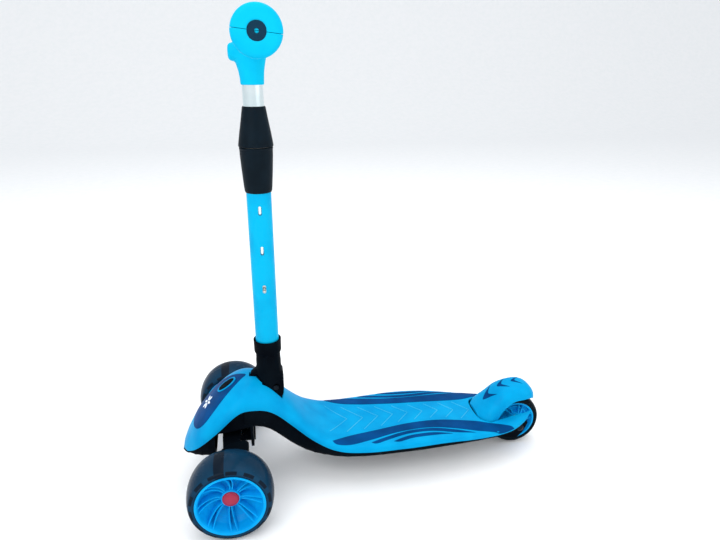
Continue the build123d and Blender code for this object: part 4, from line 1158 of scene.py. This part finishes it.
# ------------------------------------------------------------------ wheels
@dataclass
class FrontWheel:
    """One wide front wheel: smoky tyre, dished hub with paired spokes and a red cap."""

    places: Places
    side: int
    name: str
    radius: float = 60.0
    half: float = 26.0
    rim: float = 45.0
    lip: float = 48.0
    lip_width: float = 1.4
    pairs: int = 8
    twin_angle: float = 0.2
    spoke_half: float = 1.1
    spoke_sweep: float = 0.16
    boss: float = 13.5

    @property
    def centre(self) -> Vector:
        """Middle of the wheel, in metres."""
        axle = self.places.front_axle
        return Vector((axle.x, self.side * self.places.wheel_y, axle.z))

    @property
    def body(self) -> Body:
        """The body that carries this wheel's pieces."""
        return Body(f"front_wheel_{self.name}")

    def turn(self, name: str, profile: Outline, material: bpy.types.Material, steps: int = 96) -> bpy.types.Object:
        """Turn a profile whose second value runs outwards from the wheel's middle."""
        return lathe(name, [(r, y * self.side) for r, y in profile], self.centre, material, "Y", steps)

    def build(self) -> list[bpy.types.Object]:
        """Make the tyre, the hub and the cap.

        Returns:
            The pieces, each on the wheel's body.
        """
        return [self.tyre(), self.hub(), self.cap()]

    def tyre(self) -> bpy.types.Object:
        """The cast tyre with its crowned tread and rounded shoulders."""
        h, r = self.half, self.radius
        tread = [(self.lip + 0.5, -h), (self.lip + 4.2, -h - 0.9), (r - 4.0, -h + 1.6), (r - 1.7, -0.66 * h),
                 (r - 0.4, -0.33 * h), (r, 0), (r - 0.4, 0.33 * h), (r - 1.7, 0.66 * h), (r - 4.0, h - 1.6),
                 (self.lip + 4.2, h + 0.9), (self.lip + 0.5, h)]
        profile = open_curve(tread, 61) + [(self.rim, h), (self.rim, -h)]
        finish = CastTyre(f"polyurethane_cast_smoke_{self.name}", "#143c57", "#0f324a", "pu_smoke", 0.26,
                          grain_mm=2.0, grain_height_mm=0.006, coat=0.04, coat_roughness=0.1, specular=0.12,
                          centre=tuple(self.centre))
        tyre = self.turn(f"front_tread_{self.name}", profile, finish.material(), 128)
        return hand_over(tyre, self.body, finish, f"front_tyre_{self.name}", f"light_core_{self.name}")

    def hub(self) -> bpy.types.Object:
        """The dished hub: rim, bowl, boss, and paired spokes that sweep from boss to rim."""
        h, lip = self.half, self.half + self.lip_width
        outer = [(self.rim - 0.4, h - 4), (self.rim - 0.4, h), (self.lip, h), (self.lip, lip), (self.rim - 0.2, lip),
                 (43.4, lip - 3.2), (42.8, 19), (41.2, 12), (36, 5), (25, 0), (17, -1), (self.boss, 1),
                 (self.boss, 10.2), (12.0, 10.8), (11.2, 10.7), (10.98, 7), (10.98, -0.5), (7, -0.5)]
        inner = [(7, -15), (self.boss, -24), (self.boss, -10), (25, -6), (36, -8), (40, -12), (41, -h - 1.4),
                 (self.lip, -h - 1.4), (self.lip, -h), (self.rim - 0.4, -h), (self.rim - 0.4, -h + 4)]
        finish = Palette.abs_hub.material()
        shell = self.turn(f"hub_shell_{self.name}", rounded(outer, 1.2) + rounded(inner, 1.0), finish, 96)
        spokes = self.spokes(f"hub_spokes_{self.name}", 1)
        back = self.spokes(f"hub_back_{self.name}", -1)
        hub = join(f"wheel_hub_{self.name}", [shell, spokes, back])
        return hand_over(hub, self.body, Palette.abs_hub, f"front_hub_{self.name}")

    def spokes(self, name: str, face: int) -> bpy.types.Object:
        """Paired spokes on one face of the hub.

        Args:
            name: the piece's name.
            face: 1 for the outer face, -1 for the inner face.

        Returns:
            The spokes, at the wheel.
        """
        out = self.side * face
        tops = ((12.5, 9), (20, 9.5), (30, 14), (38, 20), (43.5, 25.2))
        if face < 0:
            tops = ((12.5, 16.0), (25, 12.0), (41.5, 20.0))
        steps = 14
        loops = []
        for k in range(steps + 1):
            r = 12.5 + (43.4 - 12.5) * k / steps
            if face < 0:
                r = 12.5 + (41.3 - 12.5) * k / steps
            turn = self.spoke_sweep * ((r - 12.5) / 31) ** 1.5
            top = smooth(tops, r)
            foot = 5.0 if face < 0 else -2.0
            half = self.spoke_half * (1.15 - 0.25 * (r - 12.5) / 31)
            corners = [(-half * 1.5, foot), (-half, top - 1.0), (-half * 0.6, top - 0.2), (0, top),
                       (half * 0.6, top - 0.2), (half, top - 1.0), (half * 1.5, foot)]
            loop = []
            for across, along in corners:
                a = turn + across / r
                loop.append(Vector((r * math.cos(a) * MM, along * out * MM, r * math.sin(a) * MM)))
            loops.append(loop)
        finish = Palette.abs_hub.material()
        spoke = capped(name, loops, finish)
        Trees.run(spoke, Trees.around(), {"Pairs": self.pairs, "Copies": 2, "Twin angle": self.twin_angle},
                  finish)
        spoke.data.transform(Matrix.Translation(self.centre))
        return spoke

    def cap(self) -> bpy.types.Object:
        """The domed red cap over the nut."""
        arc = [(11.7 * math.sin(a), 11.1 + 4.8 * math.cos(a)) for a in (math.pi / 2 * k / 12 for k in range(13))]
        profile = arc + [(10.9, 11.1), (10.9, 6.6), (8.6, 6.6), (8.6, 11.2), (6.5, 13.2), (0, 14.6)]
        cap = self.turn(f"wheel_cap_{self.name}", profile, Palette.abs_red.material(), 64)
        return hand_over(cap, self.body, Palette.abs_red, f"hub_cap_{self.name}")


@dataclass
class RearWheel:
    """The narrow rear wheel under the fender."""

    places: Places
    radius: float = 44.2
    half: float = 13.8
    rim: float = 34.0
    pairs: int = 6

    def build(self) -> list[bpy.types.Object]:
        """Make the tyre and the spoked hub."""
        return [self.tyre(), self.hub()]

    def tyre(self) -> bpy.types.Object:
        """Tyre with a rounded tread."""
        h, r = self.half, self.radius
        tread = [(self.rim, 0.9 - h), (self.rim + 5, -h), (r - 2.6, 2.4 - h), (r - 0.9, -0.55 * h), (r, 0),
                 (r - 0.9, 0.55 * h), (r - 2.6, h - 2.4), (self.rim + 5, h), (self.rim, h - 0.9)]
        finish = Palette.pu_dark
        tyre = lathe("rear_tread", open_curve(tread, 49), self.places.rear_axle, finish.material(), "Y", 112)
        return hand_over(tyre, Body.REAR, finish, "rear_tyre")

    def hub(self) -> bpy.types.Object:
        """Hub with a rim ring, a second ring, a boss and curved spokes."""
        finish = Palette.abs_hub.material()
        h = self.half - 0.6
        ring = rounded([(self.rim, -h), (self.rim, h), (31.4, h), (30.4, h - 4), (30.4, 4 - h), (31.4, -h)], 0.6)
        band = rounded([(24, 7 - h), (24, h - 7 + 5), (22.4, h - 2), (22.4, 7 - h)], 0.5)
        boss = rounded([(13.4, -h), (13.4, h), (11.0, h), (11.0, -h)], 0.5)
        web = rounded([(31, -2), (31, 2), (12, 2), (12, -2)], 0.5)
        parts = []
        for number, profile in enumerate((ring, band, boss, web)):
            parts.append(lathe(f"rear_hub_{number}", profile + [profile[0]], self.places.rear_axle, finish, "Y", 80))
        for face in (-1, 1):
            loops = []
            for k in range(9):
                r = 12.8 + (31.2 - 12.8) * k / 8
                turn = 0.34 * ((r - 12.8) / 18) ** 1.3
                top = 8.0 + 3.2 * abs(r - 22) / 10
                loop = []
                for across, along in ((-1.3, 1), (-0.9, top), (0.9, top), (1.3, 1)):
                    a = turn + across / r
                    loop.append(Vector((r * math.cos(a) * MM, face * along * MM, r * math.sin(a) * MM)))
                loops.append(loop)
            spoke = capped(f"rear_spokes_{face + 1}", loops, finish)
            Trees.run(spoke, Trees.around(), {"Pairs": self.pairs, "Copies": 2, "Twin angle": 0.3}, finish)
            spoke.data.transform(Matrix.Translation(self.places.rear_axle))
            parts.append(spoke)
        hub = join("rear_wheel_hub", parts)
        return hand_over(hub, Body.REAR, Palette.abs_hub, "rear_hub")


# ------------------------------------------------------------------ foot brake
@dataclass
class Fender:
    """The fender over the rear wheel, which is the foot brake, with three navy chevrons."""

    places: Places
    wall: float = 2.6
    width: Knots = ((-71, 20), (-65, 30.5), (-56, 36.8), (-44, 34.2), (-30, 31), (-12, 28.3), (8, 27.3), (21, 23),
                    (29, 15), (32.5, 8))
    crown: Knots = ((-71, 69), (-65, 75), (-55, 85), (-44, 97.5), (-32, 107.5), (-20, 112.5), (-8, 115), (6, 115.5),
                    (16, 112.5), (23, 107.5), (29, 100), (32.5, 94))
    foot: Knots = ((-71, 64), (-65, 60), (-56, 58), (-44, 60), (-30, 78), (-12, 90), (8, 93), (21, 92), (29, 87),
                   (32.5, 84))
    power: float = 2.3
    mark_lift: float = 0.4
    mark_depth: float = 0.9
    marks: tuple = ((-56, 18, 14.5, 9.0), (-32.5, 17, 12.5, 7.5), (-8, 16, 10.5, 6.5))

    def at(self, x: float, y: float, z: float) -> Vector:
        """A point in mm from the rear axle's station."""
        return Vector((self.places.rear_axle.x + x * MM, y * MM, z * MM))

    def section(self, x: float, inset: float, count: int = 49) -> list[tuple[float, float]]:
        """Points (y, z) over one arched section."""
        width = smooth(self.width, x) - inset
        base = smooth(self.foot, x)
        rise = smooth(self.crown, x) - inset - base
        points = []
        for i in range(count):
            a = math.pi * i / (count - 1)
            c, s = math.cos(a), max(math.sin(a), 0.0)
            points.append((math.copysign(abs(c) ** (2 / self.power), c) * width,
                           base + s ** (2 / self.power) * rise))
        return points

    def height(self, x: float, y: float) -> float:
        """Height of the fender over a point in plan."""
        share = min(abs(y) / smooth(self.width, x), 0.999)
        base = smooth(self.foot, x)
        return base + (smooth(self.crown, x) - base) * (1 - share ** self.power) ** (1 / self.power)

    def build(self) -> list[bpy.types.Object]:
        """Make the fender and its chevrons."""
        return [self.shell(), self.chevrons()]

    def shell(self) -> bpy.types.Object:
        """The moulded fender as a closed wall."""
        stations = [-71 + 103.5 * k / 60 for k in range(61)]
        bm = bmesh.new()
        outer, inner = [], []
        for x in stations:
            inner_x = min(max(x, -71 + self.wall), 32.5 - self.wall)
            outer.append([bm.verts.new(self.at(x, y, z)) for y, z in self.section(x, 0)])
            inner.append([bm.verts.new(self.at(inner_x, y, z)) for y, z in self.section(inner_x, self.wall)])
        last = len(outer[0]) - 1
        for rows in (outer, inner):
            for a, b in zip(rows, rows[1:]):
                for i in range(last):
                    bm.faces.new((a[i], a[i + 1], b[i + 1], b[i]))
            bm.faces.new(rows[0])
            bm.faces.new(rows[-1])
        for k in range(len(stations) - 1):
            for end in (0, last):
                bm.faces.new((outer[k][end], outer[k + 1][end], inner[k + 1][end], inner[k][end]))
        for k in (0, -1):
            bm.faces.new((outer[k][0], outer[k][last], inner[k][last], inner[k][0]))
        finish = Palette.abs_blue
        shell = from_bmesh("brake_fender_shell", bm, finish.material(), 38)
        return hand_over(shell, Body.BRAKE, finish, "brake_fender")

    def chevrons(self) -> bpy.types.Object:
        """Three crescent chevrons that follow the fender."""
        strips = []
        for number, (tip, reach, spread, depth) in enumerate(self.marks):
            top, low = [], []
            for k in range(41):
                t = 2 * k / 40 - 1
                start = tip + reach * abs(t) ** 1.5
                thick = depth * (1 - abs(t) ** 1.4) + 0.3
                plan = [(start + thick * j / 6, spread * t) for j in range(7)]
                top.append([self.at(x, y, self.height(x, y) + self.mark_lift) for x, y in plan])
                low.append([self.at(x, y, self.height(x, y) - self.mark_depth) for x, y in plan])
            strips.append(plate(f"chevron_{number}", top, low, False, Palette.abs_navy))
        chevrons = join("fender_chevron_set", strips)
        return hand_over(chevrons, Body.BRAKE, Palette.abs_navy, "fender_chevrons")


# ------------------------------------------------------------------ column and bar
@dataclass
class Column:
    """The twist clamp halfway up the column."""

    places: Places
    foot: float = 457.0
    split: float = 519.0
    top: float = 572.0
    tube: float = 17.4
    mast: float = 14.2

    def build(self) -> list[bpy.types.Object]:
        """Make the fixed lower half and the nut that turns over it."""
        finish = Palette.nylon_clamp
        lower = [(self.tube, self.foot), (18.0, self.foot), (18.9, self.foot + 1.6), (19.6, self.foot + 8),
                 (21.2, self.foot + 30), (22.4, self.foot + 50), (22.6, self.split - 3.2), (23.0, self.split - 2.4),
                 (23.0, self.split - 0.4), (self.tube, self.split - 0.4)]
        nut = [(self.mast, self.top), (14.9, self.top), (15.7, self.top - 1.2), (18.0, self.top - 16),
               (21.0, self.top - 33), (22.9, self.top - 45), (23.7, self.split + 2.6), (23.7, self.split + 0.5),
               (19.0, self.split + 0.5), (19.0, self.split + 16.5), (self.mast, self.split + 41)]
        made = []
        for name, profile, node, body in (("clamp_lower", lower, "collar_lower", Body.STEM),
                                          ("clamp_nut", nut, "collar_nut", Body.CLAMP)):
            points = rounded(profile, 1.6)
            piece = lathe(name, points, self.places.column, finish.material(), "Z", 80, 38)
            hand_over(piece, body, finish, node)
            made.append(piece)
        return made


@dataclass
class TruckArms:
    """The moulded arms that reach from the truck down to the front wheels."""

    places: Places
    near: float = 68.0
    far: float = 99.0
    outline: tuple = ((-24, 60), (-22, 78), (-10, 92), (4, 99), (22, 101), (27, 94), (24, 72), (16, 52), (-16, 52))

    def build(self) -> list[bpy.types.Object]:
        """Make one arm on each side.

        Returns:
            The pair of arms, on the truck.
        """
        finish = Palette.nylon_black
        loop = closed_curve(self.outline, 6)
        arms = []
        for side in (-1, 1):
            points = [self.places.at(x, side * self.near, z) for x, z in loop]
            reach = Vector((0, side * (self.far - self.near) * MM, 0))
            arm = prism(f"arm_{side + 1}", points, reach, finish.material())
            ease = arm.modifiers.new("ease", "BEVEL")
            ease.width = 2.0 * MM
            ease.segments = 3
            ease.limit_method = "ANGLE"
            bake(arm)
            arms.append(arm)
        pair = join("truck_arms", arms)
        pair.data.shade_smooth()
        pair.data.set_sharp_from_angle(angle=math.radians(40))
        return [hand_over(pair, Body.TRUCK, finish)]


@dataclass
class Springs:
    """The springs that shorten on the real scooter as the truck leans and as the fold button goes in, shown as
    copies of their CAD nodes at one length.
    """

    places: Places
    button_slope: float = 34.0
    button_half: float = 5.3
    button_share: float = 0.6
    steer_share: float = 0.68

    def build(self) -> list[bpy.types.Object]:
        """Make the steering springs and the button's spring.

        Returns:
            The springs, each on its body.
        """
        slope = math.radians(self.button_slope)
        inward = Vector((math.sin(slope), 0, -math.cos(slope)))
        low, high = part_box("button_spring")
        foot = (low + high) / 2 + inward * self.button_half * MM
        steer_low, steer_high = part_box("steer_springs")
        seat = Vector(((steer_low.x + steer_high.x) / 2, 0, steer_low.z))
        made = []
        for name, node, body, joint, axis, anchor, keep in (
                ("release_spring", "button_spring", Body.DECK, "fold_press", inward, foot, self.button_share),
                ("lean_springs", "steer_springs", Body.TRUCK, "lean_steer", Vector((0, 0, 1)), seat,
                 self.steer_share)):
            piece = copy_of(node, name, Palette.spring)
            hand_over(piece, body, Palette.spring, node)
            tuple(axis)
            tuple(anchor)
            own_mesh(piece)
            made.append(piece)
        return made


@dataclass
class Socket:
    """The moulded socket under the column, its edges melted soft."""

    voxel: float = 1.0
    passes: int = 20

    def build(self) -> list[bpy.types.Object]:
        """Soften the socket's CAD form into a moulding.

        Returns:
            The socket, on the stem.
        """
        piece = copy_of("stem_socket", "socket_cuff", Palette.nylon_black)
        weld = piece.modifiers.new("weld", "WELD")
        weld.merge_threshold = 0.01 * MM
        remesh = piece.modifiers.new("melt", "REMESH")
        remesh.mode = "VOXEL"
        remesh.voxel_size = self.voxel * MM
        soften = piece.modifiers.new("soften", "SMOOTH")
        soften.factor = 0.5
        soften.iterations = self.passes
        bake(piece)
        piece.data.shade_smooth()
        hand_over(piece, Body.STEM, Palette.nylon_black, "stem_socket")
        return [piece]


@dataclass
class Handlebar:
    """The bar's moulded shells: ball ends, grips and the head that drops to the mast."""

    places: Places
    voxel: float = 1.15
    seam_tilt: float = 7.0
    seam_gap: float = 0.28
    reach: float = 135.0

    def build(self) -> list[bpy.types.Object]:
        """Make the upper and lower shells."""
        form = self.form()
        upper, lower = self.split(form)
        finish = Palette.pp_grip
        for piece, node in ((upper, "handlebar_upper"), (lower, "handlebar_lower")):
            hand_over(piece, Body.BAR, finish, node)
        return [upper, lower]

    def form(self) -> bpy.types.Object:
        """Bar, head and boss melted into one moulded form."""
        bar, column = self.places.bar, self.places.column
        finish = Palette.pp_grip.material()
        half = [(0, self.reach - 2.6), (11.2, self.reach - 2.6), (11.2, self.reach), (23.6, self.reach - 0.2),
                (27.2, self.reach - 1.8), (28.9, self.reach - 5.2), (28.8, self.reach - 9), (26, self.reach - 13.2),
                (20, self.reach - 17.5), (17.2, self.reach - 24), (17.6, 90), (16.8, 60), (16.8, 40), (20, 30),
                (22.4, 18), (22.8, 0)]
        profile = half + [(r, -y) for r, y in reversed(half[:-1])]
        pieces = [lathe("bar_form", profile, bar, finish, "Y", 72)]
        rings = []
        for z, rx, ry, shift in ((599, 15.4, 15.4, 0), (607, 15.8, 15.8, 0), (615, 16.6, 16.5, -0.3),
                                 (624, 18.6, 17.8, -0.8), (634, 21.2, 19.6, -1.2), (645, 22.8, 20.6, 0),
                                 (655, 22.0, 20.6, 2)):
            rings.append([column + Vector(((shift + rx * math.cos(a)) * MM, ry * math.sin(a) * MM, z * MM))
                          for a in (2 * math.pi * i / 64 for i in range(64))])
        pieces.append(capped("head_form", rings, finish))
        centre = column + Vector((0, 0, bar.z - 19 * MM))
        dome = []
        for x, r in ((-29.2, 0.1), (-29.2, 5), (-28.4, 8.6), (-26.4, 10.6), (-22, 11.8), (-12, 12)):
            dome.append([centre + Vector((x * MM, r * math.cos(a) * MM, r * math.sin(a) * MM))
                         for a in (2 * math.pi * i / 48 for i in range(48))])
        pieces.append(capped("boss_form", dome, finish))
        form = join("bar_melt", pieces)
        remesh = form.modifiers.new("melt", "REMESH")
        remesh.mode = "VOXEL"
        remesh.voxel_size = self.voxel * MM
        soften = form.modifiers.new("soften", "SMOOTH")
        soften.factor = 0.5
        soften.iterations = 8
        return bake(form)

    def split(self, form: bpy.types.Object) -> tuple[bpy.types.Object, bpy.types.Object]:
        """Cut the form along the shells' seam.

        Args:
            form: the melted form.

        Returns:
            The upper and the lower shell.
        """
        tilt = math.radians(self.seam_tilt)
        normal = Vector((math.sin(tilt), 0, math.cos(tilt)))
        halves = []
        for name, sign in (("bar_shell_upper", 1), ("bar_shell_lower", -1)):
            bm = bmesh.new()
            bm.from_mesh(form.data)
            geometry = list(bm.verts) + list(bm.edges) + list(bm.faces)
            done = bmesh.ops.bisect_plane(bm, geom=geometry, dist=1e-7,
                                          plane_co=self.places.bar + normal * sign * self.seam_gap * MM,
                                          plane_no=normal * sign, clear_inner=True)
            edges = [g for g in done["geom_cut"] if isinstance(g, bmesh.types.BMEdge)]
            bmesh.ops.holes_fill(bm, edges=edges, sides=0)
            mesh = bpy.data.meshes.new(name)
            bm.to_mesh(mesh)
            bm.free()
            halves.append(link(name, mesh, Palette.pp_grip.material(), 45))
        bpy.data.objects.remove(form)
        return halves[0], halves[1]


# ------------------------------------------------------------------ CAD nodes that keep their shape
class Dressing:
    """Finishes for the CAD nodes that are shown as they are."""

    FINISHES = {
        Palette.nylon_black: ("chassis", "socket_rim", "truck_beam", "button_guide", "fold_button"),
        Palette.abs_blue: ("button_bezel",),
        Palette.plug_slate: ("end_plugs",),
        Palette.paint_blue: ("stem_tube",),
        Palette.aluminium: ("mast_tube", "cross_tube", "stiffener"),
        Palette.oxide: ("rear_axle", "rear_nut", "fold_pin", "socket_screws"),
        Palette.zinc: ("kingpin", "rear_spacers", "brake_pin", "bar_screws",
                       "front_axles", "front_nuts", "snap_button", "deck_screws",
                       "rear_bearing_spacer", "bearing_spacer_left", "bearing_spacer_right"),
        Palette.bearing: ("front_bearings_left", "front_bearings_right", "rear_bearings"),
        Palette.spring: ("brake_spring", "snap_spring"),
        Palette.nylon_natural: ("mast_guide", "collet", "kingpin_bush"),
        Palette.rubber: ("brake_pad",),
    }

    def apply(self) -> int:
        """Dress each node and return how many were dressed."""
        done = 0
        for finish, names in self.FINISHES.items():
            for name in names:
                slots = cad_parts[name].material_slots
                for slot in slots:
                    slot.material = finish.material()
                done += 1
        return done


# ------------------------------------------------------------------ studio
@dataclass(frozen=True)
class Studio:
    """Pale floor, soft lights and the camera."""

    places: Places
    lens: float = 29.25
    camera_at: tuple[float, float, float] = (58.6, -817.6, 625.8)
    pitch: float = 19.48
    yaw: float = 10.26

    def build(self) -> None:
        """Set up the floor, the lights, the world and the camera."""
        self.floor()
        self.lights()
        self.world()
        data = bpy.data.cameras.new("camera")
        data.lens = self.lens
        data.sensor_width = 36.0
        data.clip_start, data.clip_end = 0.01, 50.0
        camera = bpy.data.objects.new("camera", data)
        camera.location = self.places.at(*self.camera_at)
        camera.rotation_euler = (math.radians(90 - self.pitch), 0, math.radians(-self.yaw))
        bpy.context.scene.collection.objects.link(camera)
        bpy.context.scene.camera = camera

    def floor(self) -> None:
        """A wide plain floor that rises into the backdrop."""
        loops = []
        for i in range(25):
            a = math.pi / 2 * i / 24
            loops.append((4.0 + 2.0 * math.sin(a), 2.0 - 2.0 * math.cos(a)))
        bm = bmesh.new()
        rows = []
        for y, z in [(-6.0, 0.0)] + loops + [(6.0, 7.0)]:
            rows.append([bm.verts.new((x, y, z - 0.0002)) for x in (-9.0, 9.0)])
        for a, b in zip(rows, rows[1:]):
            bm.faces.new((a[0], a[1], b[1], b[0]))
        finish = Finish("paper_backdrop_white", "#fbfcfd", "#f8fafb", "", 0.85, grain_mm=3.0, grain_height_mm=0.01)
        floor = from_bmesh("floor", bm, finish.material())
        floor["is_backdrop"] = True

    def lights(self) -> None:
        """Three large soft lights."""
        for name, at, size, power in (("key", (-1.4, -1.9, 2.2), 2.2, 40.0), ("fill", (1.9, -1.5, 1.6), 2.4, 17.0),
                                      ("top", (0.1, 0.5, 2.6), 2.6, 29.0)):
            data = bpy.data.lights.new(name, "AREA")
            data.shape = "SQUARE"
            data.size = size
            data.energy = power
            light = bpy.data.objects.new(name, data)
            light.location = at
            light.rotation_euler = (Vector((0, 0, 0.25)) - Vector(at)).to_track_quat("-Z", "Y").to_euler()
            bpy.context.scene.collection.objects.link(light)

    def world(self) -> None:
        """A pale even surround, shown without a film curve so that the plastics keep their strong colour."""
        world = bpy.data.worlds.new("surround")
        world.use_nodes = True
        background = world.node_tree.nodes["Background"]
        background.inputs[0].default_value = linear("#fafcff")
        background.inputs[1].default_value = 0.85
        bpy.context.scene.world = world
        bpy.context.scene.view_settings.view_transform = "Standard"


def main() -> None:
    """Build the scooter's looks piece by piece."""
    logging.basicConfig(level=logging.INFO, format="%(message)s")
    places = Places.read()
    cad_box = [list(corner) for corner in places.box]
    builders = [DeckBody(places), FrontWheel(places, -1, "left"), FrontWheel(places, 1, "right"),
                RearWheel(places), Fender(places), TruckArms(places), Springs(places), Socket(), Column(places),
                Handlebar(places)]
    for builder in builders:
        for piece in builder.build():
            log.info("%s: %d faces", piece.name, len(piece.data.polygons))
    log.info("%d CAD nodes dressed", Dressing().apply())
    Studio(places).build()


if __name__ == "__main__":
    main()
